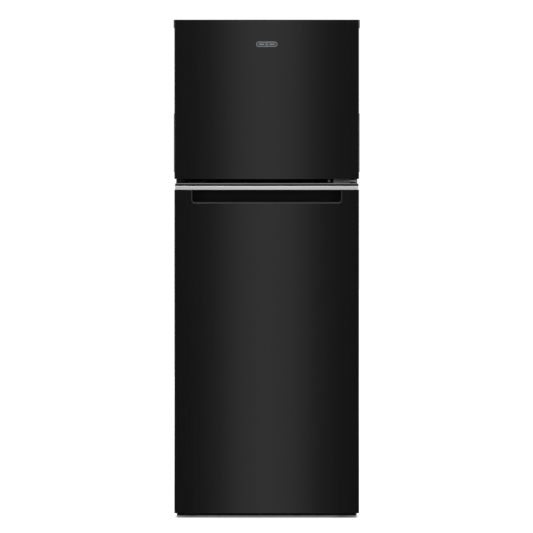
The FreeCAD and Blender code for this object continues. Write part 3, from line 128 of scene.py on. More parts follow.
# Foamed polyurethane: cream, matt, with open cells of about 2 mm where it was cut.
foam = grained(
    "foamed_polyurethane",
    "#c9b988",
    "#e6dcb8",
    0.9,
    2.2 * MM,
    0.5 * MM,
    pattern="ShaderNodeTexVoronoi",
)
dress(foam, "cabinet_foam", "freezer_foam", "fridge_foam")

# ---------------------------------------------------------------- liners
# Each cavity, and the inside of each door, is one sheet of white polystyrene drawn by vacuum over
# a mould. The drawing thins the corners and leaves the surface smooth, with a slight waviness.

# Thermoformed high-impact polystyrene: clean white with a satin gloss and long soft waves.
liner_white = grained(
    "thermoformed_polystyrene", "#e8eaeb", "#f1f3f4", 0.27, 40 * MM, 0.03 * MM, IOR=1.59
)
dress(liner_white, "freezer_liner", "fridge_liner", "freezer_door_liner", "fridge_door_liner")

# ---------------------------------------------------------------- front rails
# A coated strip of steel closes the cabinet's front between the two cavities, and a folded rail
# with a toe plate closes it under the fridge door. They are screwed on before the foam goes in.

# Powder-coated like the wrapper, with its colour darkened to near black as painted shade, for the shadow
# behind the doors.
rail_coat_painted_shade = grained("rail_powder_coat_painted_shade", "#050506", "#0b0b0c", 0.6, 1.1 * MM, 0.04 * MM, IOR=1.4)
dress(rail_coat_painted_shade, "mullion_rail", "base_rail")

# ---------------------------------------------------------------- machine niche's sheet metal
# The floor pan, the tray that carries the compressor, and the roller forks are pressed from
# galvanised sheet and left bare.


def spangled(name, dark, light, spangle, gloss):
    """Hot-dip zinc: each crystal of the coat has its own brightness."""
    material, tree, place = new_finish(name)
    crystals = add(tree, "ShaderNodeTexVoronoi", {"Vector": place, "Scale": 1 / spangle})
    grey = add(tree, "ShaderNodeSeparateColor", {"Color": crystals.outputs["Color"]})
    colour = add(
        tree,
        "ShaderNodeMix",
        {"Factor": grey.outputs[0], 6: linear(dark), 7: linear(light)},
        data_type="RGBA",
    )
    rough = add(
        tree,
        "ShaderNodeMapRange",
        {"Value": grey.outputs[1], "To Min": gloss - 0.08, "To Max": gloss + 0.08},
    )
    relief = add(
        tree,
        "ShaderNodeBump",
        {"Height": crystals.outputs["Distance"], "Strength": 1.0, "Distance": 0.01 * MM},
    )
    inputs = {"Base Color": colour.outputs[2], "Roughness": rough.outputs[0], "Metallic": 0.85}
    inputs["Normal"] = relief.outputs[0]
    surface(tree, inputs)
    return material


# Galvanised steel: grey crystals of about 9 mm, some bright and some dull.
galvanised = spangled("galvanised_steel", "#8d9195", "#c2c5c8", 9 * MM, 0.45)
dress(galvanised, "floor_pan", "compressor_tray", "roller_brackets")

# ---------------------------------------------------------------- levelling feet
# Two moulded black nylon feet on steel studs carry the front of the cabinet. Each has a grooved
# rim to turn it by and a threaded stud in the base rail.

# Moulded ABS and nylon: near-black with a fine spark-eroded texture that kills the gloss.
black_plastic = grained(
    "moulded_black_plastic", "#0f0f0f", "#181818", 0.42, 0.5 * MM, 0.02 * MM, IOR=1.53
)
GRIP_RIBS = 28
THREAD_PITCH = 1.25 * MM
TURN_STEPS = 48


def lathe(profile, centre, axis="Z", steps=TURN_STEPS):
    """A mesh turned from a closed outline of (radius, height) pairs about an axis through centre."""
    mesh = bmesh.new()
    rings = []
    for step in range(steps):
        angle = 2 * math.pi * step / steps
        across = Vector((math.cos(angle), math.sin(angle), 0))
        rings.append([mesh.verts.new(across * r + Vector((0, 0, h))) for r, h in profile])
    for step, ring in enumerate(rings):
        other = rings[(step + 1) % steps]
        for n in range(len(profile)):
            after = (n + 1) % len(profile)
            mesh.faces.new((ring[n], other[n], other[after], ring[after]))
    bmesh.ops.remove_doubles(mesh, verts=mesh.verts, dist=0.002 * MM)
    bmesh.ops.dissolve_degenerate(mesh, edges=mesh.edges, dist=0.002 * MM)
    turned = {
        "X": Matrix.Rotation(math.pi / 2, 4, "Y"),
        "Y": Matrix.Rotation(-math.pi / 2, 4, "X"),
        "Z": Matrix.Identity(4),
    }
    bmesh.ops.transform(mesh, matrix=Matrix.Translation(centre) @ turned[axis], verts=mesh.verts)
    bmesh.ops.recalc_face_normals(mesh, faces=mesh.faces)
    return mesh


def piece_of(name, mesh, finish, smooth=35):
    """An object in the scene from a bmesh, smooth where its faces meet below an angle."""
    data = bpy.data.meshes.new(name)
    mesh.to_mesh(data)
    mesh.free()
    data.materials.append(finish)
    data.shade_smooth()
    data.set_sharp_from_angle(angle=math.radians(smooth))
    made = bpy.data.objects.new(name, data)
    bpy.context.scene.collection.objects.link(made)
    return made


def tree_of(name, sizes):
    """A Geometry Nodes tree with a named input for each size. Returns it and its input node."""
    tree = bpy.data.node_groups.new(name, "GeometryNodeTree")
    tree.interface.new_socket("Geometry", in_out="OUTPUT", socket_type="NodeSocketGeometry")
    tree.interface.new_socket("Places", in_out="INPUT", socket_type="NodeSocketGeometry")
    for word, value in sizes.items():
        kind = "NodeSocketInt" if isinstance(value, int) else "NodeSocketFloat"
        tree.interface.new_socket(word, in_out="INPUT", socket_type=kind)
    return tree, add(tree, "NodeGroupInput").outputs


def grow(name, tree, shape, sizes, places, finish, facing=None):
    """Ends a tree with its realised shape in a finish, and returns that as a plain mesh object.
    The tree starts from points at places, which may each have a direction to face."""
    real = add(tree, "GeometryNodeRealizeInstances", {"Geometry": shape})
    done = add(
        tree, "GeometryNodeSetMaterial", {"Geometry": real.outputs[0], "Material": finish}
    )
    add(tree, "NodeGroupOutput", {"Geometry": done.outputs[0]})
    seeds = bpy.data.meshes.new(name)
    seeds.from_pydata([tuple(place) for place in places], [], [])
    if facing:
        ways = seeds.attributes.new("facing", "FLOAT_VECTOR", "POINT")
        for n, way in enumerate(facing):
            ways.data[n].vector = way
    made = bpy.data.objects.new(name, seeds)
    modifier = made.modifiers.new(name, "NODES")
    modifier.node_group = tree
    for item in tree.interface.items_tree:
        if item.in_out == "INPUT" and item.name in sizes:
            modifier[item.identifier] = sizes[item.name]
    bpy.context.scene.collection.objects.link(made)
    evaluated = made.evaluated_get(bpy.context.evaluated_depsgraph_get())
    result = bpy.data.meshes.new_from_object(evaluated)
    made.modifiers.clear()
    made.data = result
    return made


def joined(name, pieces):
    """Joins mesh objects into the first one and names it."""
    whole = bmesh.new()
    materials = []
    for piece in pieces:
        for material in piece.data.materials:
            if material not in materials:
                materials.append(material)
        first = len(whole.faces)
        whole.from_mesh(piece.data)
        whole.faces.ensure_lookup_table()
        for face in whole.faces[first:]:
            face.material_index = materials.index(piece.data.materials[face.material_index])
    pieces[0].data.materials.clear()
    for material in materials:
        pieces[0].data.materials.append(material)
    whole.to_mesh(pieces[0].data)
    whole.free()
    for piece in pieces[1:]:
        bpy.data.objects.remove(piece)
    pieces[0].name = name
    return pieces[0]


def copies(tree, points, thing, turn=None):
    """Instances of one geometry on points, each with its own turn if one is given."""
    inputs = {"Points": points, "Instance": thing}
    if turn is not None:
        inputs["Rotation"] = turn
    return add(tree, "GeometryNodeInstanceOnPoints", inputs).outputs[0]


def moved(tree, geometry, place, turn=(0, 0, 0)):
    """Geometry turned about its origin and then moved to a place."""
    inputs = {"Geometry": geometry, "Translation": place, "Rotation": turn}
    return add(tree, "GeometryNodeTransform", inputs).outputs[0]


def ring_of(tree, count, radius, thing):
    """Copies of one geometry, evenly spaced round a circle about Z."""
    circle = add(tree, "GeometryNodeMeshCircle", {"Vertices": count, "Radius": radius})
    return copies(tree, circle.outputs[0], thing)


def rim_ribs(name, centre, radius, low, high, finish):
    """Upright grip ribs round a foot's rim."""
    sizes = {"Ribs": GRIP_RIBS, "Radius": radius, "Rib": 0.8 * MM, "Height": high - low}
    tree, sockets = tree_of(name, sizes)
    rib = add(
        tree,
        "GeometryNodeMeshCylinder",
        {"Vertices": 8, "Radius": sockets["Rib"], "Depth": sockets["Height"]},
    )
    ribs = ring_of(tree, sockets["Ribs"], sockets["Radius"], rib.outputs[0])
    placed = moved(tree, ribs, (*centre[:2], (low + high) / 2))
    return grow(name, tree, placed, sizes, [(0, 0, 0)], finish)


for side_name in ("left", "right"):
    node = f"foot_{side_name}"
    low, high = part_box(node)
    middle = ((low.x + high.x) / 2, (low.y + high.y) / 2, 0)
    pad = (high.x - low.x) / 2
    stud, nut = 4.6 * MM, 9 * MM
    outline = [(0, 0), (pad - 2.4 * MM, 0), (pad - 1.2 * MM, 1.2 * MM), (pad - 1.2 * MM, 6 * MM)]
    outline += [(pad - 3.5 * MM, 7.5 * MM), (nut, 11 * MM), (nut, 17 * MM), (stud, 18.5 * MM)]
    turns = int((high.z - 20 * MM) / THREAD_PITCH)
    for turn in range(turns):
        base = 19 * MM + turn * THREAD_PITCH
        outline += [(stud - 0.35 * MM, base), (stud + 0.3 * MM, base + THREAD_PITCH / 2)]
    outline += [(stud - 0.6 * MM, high.z), (0, high.z)]
    body = piece_of(node + "_body_part", lathe(outline, middle), black_plastic)
    ribs = rim_ribs(node + "_ribs", middle, pad - 1 * MM, 1.4 * MM, 5.8 * MM, black_plastic)
    foot = joined(f"levelling_foot_{side_name}", [body, ribs])
    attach(foot, f"foot_{side_name}_body")
    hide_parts(node)

# ---------------------------------------------------------------- rear rollers
# Two nylon rollers under the back turn on axles riveted through galvanised forks. Each is moulded
# with a grooved tread and a thin web between rim and hub.

for side_name in ("left", "right"):
    node = f"roller_{side_name}"
    low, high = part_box(node)
    radius, half = (high.z - low.z) / 2, (high.x - low.x) / 2
    middle = (low + high) / 2
    bore, hub, web = 3.1 * MM, 6 * MM, 2 * MM
    outline = [(bore, -half), (hub, -half), (hub, -web), (radius - 3 * MM, -web)]
    outline += [(radius - 3 * MM, -half), (radius - 0.8 * MM, -half), (radius, 0.8 * MM - half)]
    for groove in (-4.5 * MM, 0, 4.5 * MM):
        outline += [(radius, groove - 0.7 * MM), (radius - 0.7 * MM, groove)]
        outline += [(radius, groove + 0.7 * MM)]
    outline += [(radius, half - 0.8 * MM), (radius - 0.8 * MM, half), (radius - 3 * MM, half)]
    outline += [(radius - 3 * MM, web), (hub, web), (hub, half), (bore, half)]
    roller = piece_of(f"grooved_roller_{side_name}", lathe(outline, middle, "X"), black_plastic)
    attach(roller, f"roller_{side_name}_body")
    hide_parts(node)

# ---------------------------------------------------------------- compressor
# A hermetic compressor hangs in the niche at the back: two drawn steel halves welded round the
# middle and dipped in black enamel, on rubber feet. Its relay sits under a clipped plastic cover.

# Black enamel over drawn steel: deep gloss with a faint orange peel.
enamel = grained("black_enamel", "#0a0a0b", "#121213", 0.25, 3 * MM, 0.03 * MM, IOR=1.5)
dress(enamel, "compressor")
# Black rubber: matt and slightly dusty.
rubber = grained("black_rubber", "#0c0c0c", "#1a1a1a", 0.78, 0.8 * MM, 0.05 * MM, IOR=1.52)
dress(rubber, "compressor_mounts")
dress(black_plastic, "relay_cover")

comp_low, comp_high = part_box("compressor")
comp_middle = Vector(((comp_low.x + comp_high.x) / 2, (comp_low.y + comp_high.y) / 2, 0))
WELD_RADIUS = 80 * MM
SEAM_ABOVE_MIDDLE = 4.85 * MM
BEADS = 150
weld_sizes = {"Beads": BEADS, "Radius": WELD_RADIUS, "Bead": 2.1 * MM}
weld_tree, sockets = tree_of("weld_seam", weld_sizes)
bead = add(weld_tree, "GeometryNodeMeshIcoSphere", {"Radius": sockets["Bead"], "Subdivisions": 2})
beads = ring_of(weld_tree, sockets["Beads"], sockets["Radius"], bead.outputs[0])
seam_height = (comp_low.z + comp_high.z) / 2 + SEAM_ABOVE_MIDDLE
placed = moved(weld_tree, beads, (*comp_middle[:2], seam_height))
weld = grow("compressor_weld", weld_tree, placed, weld_sizes, [(0, 0, 0)], enamel)
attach(weld, "cabinet")

# ---------------------------------------------------------------- refrigerant pipes
# Copper tube carries the refrigerant between compressor, side-wall condenser, drier and
# evaporator. It is bent cold and brazed, and it stays bare in the niche.

# Drawn copper: warm metal, a little tarnished in patches.
copper = grained("drawn_copper", "#9a6647", "#cf9068", 0.3, 7 * MM, 0.01 * MM, Metallic=1.0)
dress(copper, "refrigerant_pipes", "suction_pipe")

# ---------------------------------------------------------------- condensate pan and cord inlet
# Defrost water drips into an open moulded pan on the warm compressor and evaporates there. The
# mains cord comes in through a moulded gland beside it.

dress(black_plastic, "condensate_pan", "cord_gland")

# ---------------------------------------------------------------- evaporator
# Behind the freezer's back wall, an aluminium tube runs to and fro through a stack of thin pressed
# fins. A fan above it draws the air up through them.

# Rolled aluminium: pale, soft metal with faint mill streaks.
aluminium = grained("rolled_aluminium", "#a9acb0", "#c6c9cc", 0.4, 2 * MM, 0.01 * MM, Metallic=1.0)
dress(aluminium, "evaporator")


def times(tree, value, factor):
    """A size in a tree, multiplied."""
    return add(tree, "ShaderNodeMath", {0: value, 1: factor}, operation="MULTIPLY").outputs[0]


def vector_of(tree, **parts):
    """A vector in a tree from its X, Y and Z."""
    return add(tree, "ShaderNodeCombineXYZ", parts).outputs[0]


def row_of(tree, count, span, thing):
    """Copies of one geometry, evenly spaced along X and centred on the origin."""
    half = times(tree, span, 0.5)
    ends = {
        "Start Location": vector_of(tree, X=times(tree, half, -1.0)),
        "Offset": vector_of(tree, X=half),
    }
    line = add(tree, "GeometryNodeMeshLine", {"Count": count, **ends}, mode="END_POINTS")
    return copies(tree, line.outputs[0], thing)


FIN_PITCH = 6 * MM
BEND_ROOM = 31 * MM  # left free beside the fins for the tube's bends
coil_low, coil_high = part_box("evaporator")
fin_span = coil_high.x - coil_low.x - 2 * BEND_ROOM
fin_sizes = {
    "Fins": int(fin_span / FIN_PITCH) + 1,
    "Span": fin_span,
    "Fin": 0.25 * MM,
    "Depth": 40 * MM,
    "Height": coil_high.z - coil_low.z - 14 * MM,
}
fin_tree, sockets = tree_of("evaporator_fins", fin_sizes)
fin_size = vector_of(fin_tree, X=sockets["Fin"], Y=sockets["Depth"], Z=sockets["Height"])
fin = add(fin_tree, "GeometryNodeMeshCube", {"Size": fin_size})
fin_row = row_of(fin_tree, sockets["Fins"], sockets["Span"], fin.outputs[0])
placed = moved(fin_tree, fin_row, (coil_low + coil_high) / 2)
fins = grow("evaporator_fins", fin_tree, placed, fin_sizes, [(0, 0, 0)], aluminium)
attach(fins, "cabinet")

# ---------------------------------------------------------------- freezer back wall and fan
# A vented panel of moulded white plastic hides the evaporator, and a small motor holds the fan
# behind its round grille.

# Moulded white ABS: bright and even, with a slightly duller gloss than the liner.
white_plastic = grained(
    "moulded_white_plastic", "#dfe2e4", "#eef0f1", 0.36, 0.8 * MM, 0.01 * MM, IOR=1.53
)
dress(white_plastic, "evaporator_cover", "fan_rotor")
dress(black_plastic, "fan_motor")

# ---------------------------------------------------------------- air duct
# A moulded channel on the fridge's back wall brings cold air down from the freezer. Three slots
# above each shelf let it out.

dress(white_plastic, "air_duct")

# ---------------------------------------------------------------- shelves
# Each shelf is a sheet of tempered glass in a moulded white frame that slides on the liner's
# ledges. A rounded trim closes the front of each frame.

dress(white_plastic, "shelf_frames")
# Tempered float glass: clear, with the faint green of its iron.
glass = grained(
    "tempered_glass",
    "#eaf7f2",
    "#f2fbf8",
    0.08,
    60 * MM,
    0.01 * MM,
    IOR=1.52,
    Transmission_Weight=1.0,
)
dress(glass, "shelf_glass")


def solids(node):
    """The lowest and highest corners of each separate solid in a CAD node, from the left and below."""
    mesh = bmesh.new()
    mesh.from_mesh(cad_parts[node].data)
    bmesh.ops.remove_doubles(mesh, verts=mesh.verts, dist=0.01 * MM)
    found, seen = [], set()
    for start in mesh.verts:
        if start.index in seen:
            continue
        seen.add(start.index)
        group, edge_of = [start], [start]
        while edge_of:
            for edge in edge_of.pop().link_edges:
                for vertex in edge.verts:
                    if vertex.index not in seen:
                        seen.add(vertex.index)
                        group.append(vertex)
                        edge_of.append(vertex)
        places = [vertex.co for vertex in group]
        low = Vector([min(place[way] for place in places) for way in range(3)])
        high = Vector([max(place[way] for place in places) for way in range(3)])
        found.append((low, high))
    mesh.free()
    return sorted(found, key=lambda box: (round(box[0].z, 4), round(box[0].x, 4), round(box[0].y, 4)))


def bar(section, low_x, high_x, centre):
    """A straight bar along X with a closed (y, z) section, whose ends are flat."""
    mesh = bmesh.new()
    ends = []
    for x in (low_x, high_x):
        ends.append([mesh.verts.new((x, centre[0] + y, centre[1] + z)) for y, z in section])
    for n in range(len(section)):
        after = (n + 1) % len(section)
        mesh.faces.new((ends[0][n], ends[0][after], ends[1][after], ends[1][n]))
    mesh.faces.new(ends[0][::-1])
    mesh.faces.new(ends[1])
    bmesh.ops.recalc_face_normals(mesh, faces=mesh.faces)
    return mesh


TRIM_DEPTH, TRIM_ARC = 4.5 * MM, 8
trims = []
for low, high in solids("shelf_frames"):
    half = (high.z - low.z) / 2
    section = [(0, -half)]
    for n in range(TRIM_ARC + 1):
        angle = math.pi * (n / TRIM_ARC - 0.5)
        section.append((-TRIM_DEPTH * (0.45 + 0.55 * math.cos(angle)), half * math.sin(angle)))
    section.append((0, half))
    trims.append(
        piece_of(
            "trim",
            bar(section, low.x + 2 * MM, high.x - 2 * MM, (low.y, (low.z + high.z) / 2)),
            white_plastic,
        )
    )
shelf_trims = joined("shelf_trims", trims)
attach(shelf_trims, "cabinet")

# ---------------------------------------------------------------- crisper drawer
# The clear drawer is injection-moulded in one piece with a hollow pull along its front. Upright
# flutes on the front hide scratches and stiffen the wall.

# Clear polystyrene: glassy, faintly blue, with a slight haze from moulding.
clear_plastic = grained(
    "clear_polystyrene",
    "#f1f8fa",
    "#fafdfe",
    0.14,
    30 * MM,
    0.05 * MM,
    IOR=1.59,
    Transmission_Weight=0.96,
)
dress(clear_plastic, "crisper_drawer")


def flutes(name, places, sizes, finish):
    """Half-sunk upright rods in a row along X, centred on each place."""
    tree, sockets = tree_of(name, sizes)
    rod = add(
        tree,
        "GeometryNodeMeshCylinder",
        {"Vertices": 10, "Radius": sockets["Flute"], "Depth": sockets["Height"]},
    )
    row = row_of(tree, sockets["Flutes"], sockets["Row"], rod.outputs[0])
    return grow(name, tree, copies(tree, sockets["Places"], row), sizes, places, finish)


low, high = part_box("crisper_drawer")
LIP = 14 * MM
drawer_flutes = flutes(
    "crisper_flutes",
    [(0, low.y + LIP - 0.1 * MM, (low.z + high.z) / 2 - 14 * MM)],
    {"Flutes": 38, "Row": high.x - low.x - 28 * MM, "Flute": 1.1 * MM, "Height": 118 * MM},
    clear_plastic,
)
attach(drawer_flutes, "crisper_drawer_body")

# ---------------------------------------------------------------- controls and light
# A moulded housing under the fridge's ceiling holds both temperature knobs, the lamp and its
# switch. The knobs push on to their shafts; raised ticks of one size are spaced round each one.

dress(white_plastic, "control_housing", "fridge_knob", "freezer_knob", "lamp_switch")
# Silver-grey ink: a matt printed film.
grey_ink = grained("silver_grey_ink", "#6f757b", "#7d838a", 0.5, 0.3 * MM, 0.005 * MM, IOR=1.5)


def facing_turn(tree, axis, pivot="AUTO"):
    """The turn that points an axis along the direction that each place has."""
    way = add(tree, "GeometryNodeInputNamedAttribute", {"Name": "facing"}, data_type="FLOAT_VECTOR")
    return add(
        tree,
        "FunctionNodeAlignRotationToVector",
        {"Vector": way.outputs[0]},
        axis=axis,
        pivot_axis=pivot,
    ).outputs[0]


TICKS, TICK_SWEEP, TICK_LENGTH = 9, math.radians(270), 3.4 * MM
housing_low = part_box("control_housing")[0]
tick_sizes = {"Width": 1.2 * MM, "Length": TICK_LENGTH, "Thickness": 0.5 * MM}
tick_tree, sockets = tree_of("dial_ticks", tick_sizes)
tick_size = vector_of(tick_tree, X=sockets["Width"], Y=sockets["Thickness"], Z=sockets["Length"])
tick = add(tick_tree, "GeometryNodeMeshCube", {"Size": tick_size})
ticks = copies(tick_tree, sockets["Places"], tick.outputs[0], facing_turn(tick_tree, "Z", "Y"))
tick_places, tick_ways = [], []
for node in ("fridge_knob", "freezer_knob"):
    low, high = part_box(node)
    middle = (low + high) / 2
    reach = (high.x - low.x) / 2 + TICK_LENGTH
    for n in range(TICKS):
        angle = TICK_SWEEP * (n / (TICKS - 1) - 0.5)
        outward = Vector((math.sin(angle), 0, math.cos(angle)))
        tick_places.append(Vector((middle.x, housing_low.y - 0.1 * MM, middle.z)) + outward * reach)
        tick_ways.append(outward)
dial_ticks = grow("dial_ticks", tick_tree, ticks, tick_sizes, tick_places, grey_ink, tick_ways)
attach(dial_ticks, "cabinet")

# ---------------------------------------------------------------- door skins
# Each door's front and sides are one sheet of steel laminated with a black film that carries a
# fine upright brushed grain. The sheet is folded at the upright edges with a radius of about
# 4 mm, and its ends are covered by the moulded caps.

HAIRLINE = 0.45 * MM  # real grain is about 0.1 mm wide, drawn coarser so that it shows
HAIRLINE_LENGTH = 260 * MM
STREAK = 3.5 * MM


def brushed_film():
    """PVC film printed with hairlines under a satin varnish: deep black that glints in thin streaks."""
    material, tree, place = new_finish("brushed_black_film")
    heights = []
    for width, length in ((HAIRLINE, HAIRLINE_LENGTH), (STREAK, 4 * HAIRLINE_LENGTH)):
        stretched = add(
            tree,
            "ShaderNodeMapping",
            {"Vector": place, "Scale": (1 / width, 1 / width, 1 / length)},
        )
        noise = add(
            tree, "ShaderNodeTexNoise", {"Vector": stretched.outputs[0], "Scale": 1.0, "Detail": 2.0}
        )
        heights.append(noise.outputs["Fac"])
    fine, broad = heights
    shade = add(tree, "ShaderNodeMath", {0: broad, 1: 0.3, 2: fine}, operation="MULTIPLY_ADD")
    level = add(
        tree,
        "ShaderNodeMapRange",
        {"Value": shade.outputs[0], "From Min": 0.4, "From Max": 0.9},
    )
    colour = add(
        tree,
        "ShaderNodeMix",
        {"Factor": level.outputs[0], 6: linear("#0a0a0b"), 7: linear("#111112")},
        data_type="RGBA",
    )
    gloss = add(
        tree, "ShaderNodeMapRange", {"Value": level.outputs[0], "To Min": 0.165, "To Max": 0.195}
    )
    relief = add(
        tree, "ShaderNodeBump", {"Height": fine, "Strength": 1.0, "Distance": 0.004 * MM}
    )
    inputs = {"Base Color": colour.outputs[2], "Roughness": gloss.outputs[0], "IOR": 1.5}
    inputs["Normal"] = relief.outputs[0]
    surface(tree, inputs)
    return material


film = brushed_film()
dress(film, "freezer_skin", "fridge_skin")

# ---------------------------------------------------------------- door end caps
# A moulded black cap closes each end of each door, and holds the hinge bush. The freezer door's
# top cap has cheeks down the sides, and the fridge door's top cap carries the strip.

# Moulded ABS with a satin finish, glossier than the plastic of hidden parts.
cap_plastic = grained("satin_black_abs", "#090909", "#101010", 0.19, 0.4 * MM, 0.002 * MM, IOR=1.53)
dress(cap_plastic, "freezer_top_cap", "freezer_bottom_cap", "fridge_bottom_cap")
# The cap that carries the strip comes from a matt tool, so it keeps an even tone.
matt_cap = grained("matt_black_abs", "#111111", "#181818", 0.33, 0.5 * MM, 0.006 * MM, IOR=1.5)
dress(matt_cap, "fridge_top_cap")

# A half-round bead of softer plastic runs along the fridge door's top edge, ahead of the cap's
# plate, and wipes the gap.
# Thermoplastic rubber with a satin gloss. Its light grey is a painted highlight: it stands for the
# glint that the light above gives the door's top edge.
bead_painted_highlight = grained("grey_tpe_painted_highlight", "#636464", "#727373", 0.3, 0.5 * MM, 0.005 * MM, IOR=1.5)
cap_low, cap_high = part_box("fridge_top_cap")
BEAD_DEPTH, BEAD_HEIGHT = 2.6 * MM, 2.4 * MM
bead_section = [(0.3 * MM, 0), (0, 0.6 * MM), (0.1 * MM, 1.5 * MM), (0.9 * MM, BEAD_HEIGHT)]
bead_section += [(BEAD_DEPTH, BEAD_HEIGHT), (BEAD_DEPTH, 0)]
cap_highlight_bead = piece_of(
    "fridge_top_highlight_bead",
    bar(
        bead_section,
        cap_low.x + 1 * MM,
        cap_high.x - 1 * MM,
        (cap_low.y + 0.9 * MM, cap_high.z - BEAD_HEIGHT - 0.3 * MM),
    ),
    bead_painted_highlight,
)
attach(cap_highlight_bead, "fridge_door_body")

# ---------------------------------------------------------------- handle pocket
# The pocket behind the strip is one moulding that clips into the skin's cut-out. Its mouth is
# rounded for the fingers, and its inside has a dull texture and a colour darker than the other
# black plastics, painted shade for the recess, so that it looks deep.

# Moulded ABS from a coarsely textured tool: matt black that gives back almost no highlight. Its
# colour is darkened below the other black plastics as painted shade inside the recess.
pocket_plastic_painted_shade = grained("dull_black_abs_painted_shade", "#050505", "#080808", 0.6, 0.6 * MM, 0.02 * MM, IOR=1.42)
dress(pocket_plastic_painted_shade, "handle_pocket")

# A polished ridge runs round the mouth's rounded edge, outside the matt inside. Its dark grey,
# lighter than the other black plastics, is a painted highlight for the light that the rounded mouth
# catches.
ridge_painted_highlight = grained("polished_abs_painted_highlight", "#2b2b2c", "#373738", 0.22, 0.5 * MM, 0.003 * MM, IOR=1.53)
POCKET_CORNER, RIDGE_PROUD, RIDGE_HALF, CORNER_STEPS = 10 * MM, 0.7 * MM, 1.1 * MM, 8
mouth_low, mouth_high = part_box("handle_pocket")
strip_low_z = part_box("handle_strip")[0].z
path = [(mouth_low.x, strip_low_z - 0.5 * MM)]
for side, start in ((-1, 180), (1, 270)):
    centre_x = (mouth_low.x if side < 0 else mouth_high.x) - side * POCKET_CORNER
    for n in range(CORNER_STEPS + 1):
        angle = math.radians(start + 90 * n / CORNER_STEPS)
        place_x = centre_x + POCKET_CORNER * math.cos(angle)
        path.append((place_x, mouth_low.z + POCKET_CORNER + POCKET_CORNER * math.sin(angle)))
path.append((mouth_high.x, strip_low_z - 0.5 * MM))


RIDGE_STEPS, RIDGE_ROOT = 6, 0.3 * MM


def ridge_along(path, face_y, proud, half_width):
    """A rounded ridge that follows a path of (x, z) points on the plane y = face_y."""
    mesh = bmesh.new()
    rings = []
    for n, (x, z) in enumerate(path):
        before, after = path[max(n - 1, 0)], path[min(n + 1, len(path) - 1)]
        along = Vector((after[0] - before[0], after[1] - before[1])).normalized()
        ring = []
        for step in range(RIDGE_STEPS + 1):
            angle = math.pi * step / RIDGE_STEPS
            out = half_width * math.cos(angle)
            y = face_y + RIDGE_ROOT - (proud + RIDGE_ROOT) * math.sin(angle)
            ring.append(mesh.verts.new((x - along.y * out, y, z + along.x * out)))
        rings.append(ring)
    for ring, other in zip(rings, rings[1:]):
        for n in range(len(ring)):
            after = (n + 1) % len(ring)
            mesh.faces.new((ring[n], ring[after], other[after], other[n]))
    mesh.faces.new(rings[0][::-1])
    mesh.faces.new(rings[-1])
    bmesh.ops.recalc_face_normals(mesh, faces=mesh.faces)
    return mesh


skin_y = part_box("fridge_skin")[0].y
pocket_highlight_ridge = piece_of(
    "pocket_highlight_ridge", ridge_along(path, skin_y, RIDGE_PROUD, RIDGE_HALF), ridge_painted_highlight, smooth=60
)
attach(pocket_highlight_ridge, "fridge_door_body")

# ---------------------------------------------------------------- side grips
# A finger recess is let into each side of the freezer door's lower half. Each is a black moulding
# whose thin lip stands outside the skin.

# Dark grey moulded ABS: a shade lighter than the film, so that the grip can be found.
grip_plastic = grained("moulded_grey_abs", "#1e1e1f", "#2a2a2b", 0.4, 0.5 * MM, 0.01 * MM, IOR=1.53)
dress(grip_plastic, "freezer_grips")

# ---------------------------------------------------------------- handle strip
# The strip over the pocket is extruded and given a satin silver lacquer. It clips to the cap's
# front, and its edges are rounded for the hand.


def lacquered_strip():
    """Pale silver lacquer: the extrusion's faint lines show through its clear coat."""
    material, tree, place = new_finish("silver_lacquer")
    along = add(
        tree, "ShaderNodeMapping", {"Vector": place, "Scale": (1 / 0.4, 1 / MM, 1 / (0.7 * MM))}
    )
    lines = add(tree, "ShaderNodeTexNoise", {"Vector": along.outputs[0], "Scale": 1.0, "Detail": 2.0})
    colour = add(
        tree,
        "ShaderNodeMix",
        {"Factor": lines.outputs["Fac"], 6: linear("#c2c2c2"), 7: linear("#d4d4d4")},
        data_type="RGBA",
    )
    relief = add(
        tree,
        "ShaderNodeBump",
        {"Height": lines.outputs["Fac"], "Strength": 1.0, "Distance": 0.01 * MM},
    )
    inputs = {"Base Color": colour.outputs[2], "Roughness": 0.3, "Metallic": 0.45}
    inputs.update({"Normal": relief.outputs[0], "Coat Weight": 0.3, "Coat Roughness": 0.2})
    surface(tree, inputs)
    return material


silver = lacquered_strip()
dress(silver, "handle_strip")

# ---------------------------------------------------------------- door seals
# A soft grey PVC seal is pushed into a groove round each door liner. Its bellows let it stretch,
# and a magnet strip in the chamber at its face pulls it on to the cabinet.

# Plasticised PVC: smooth dark grey with a soft sheen.
seal = grained("soft_pvc_seal", "#2b2c2e", "#36373a", 0.5, 1.5 * MM, 0.01 * MM, IOR=1.53)
BELLOWS = [
    (3.0, 0.0),
    (15.0, 0.0),
    (15.0, 1.4),
    (12.2, 2.4),
    (15.6, 4.0),
    (17.6, 5.6),
    (18.0, 7.2),
    (18.0, 11.0),
    (17.4, 11.5),
    (0.6, 11.5),
    (0.0, 11.0),
    (0.0, 7.2),
    (0.4, 5.6),
    (2.4, 4.0),
    (5.8, 2.4),
    (3.0, 1.4),
]


def mitred_ring(low, high, profile):
    """A rectangular ring in the XZ plane. Its (inset, depth) profile is mitred at the corners."""
    mesh = bmesh.new()
    rings = []
    for inset, depth in profile:
        u, y = inset * MM, low.y + depth * MM
        corners = ((low.x + u, low.z + u), (high.x - u, low.z + u))
        corners += ((high.x - u, high.z - u), (low.x + u, high.z - u))
        rings.append([mesh.verts.new((x, y, z)) for x, z in corners])
    for n, ring in enumerate(rings):
        other = rings[(n + 1) % len(rings)]
        for corner in range(4):
            after = (corner + 1) % 4
            mesh.faces.new((ring[corner], ring[after], other[after], other[corner]))
    bmesh.ops.recalc_face_normals(mesh, faces=mesh.faces)
    return mesh


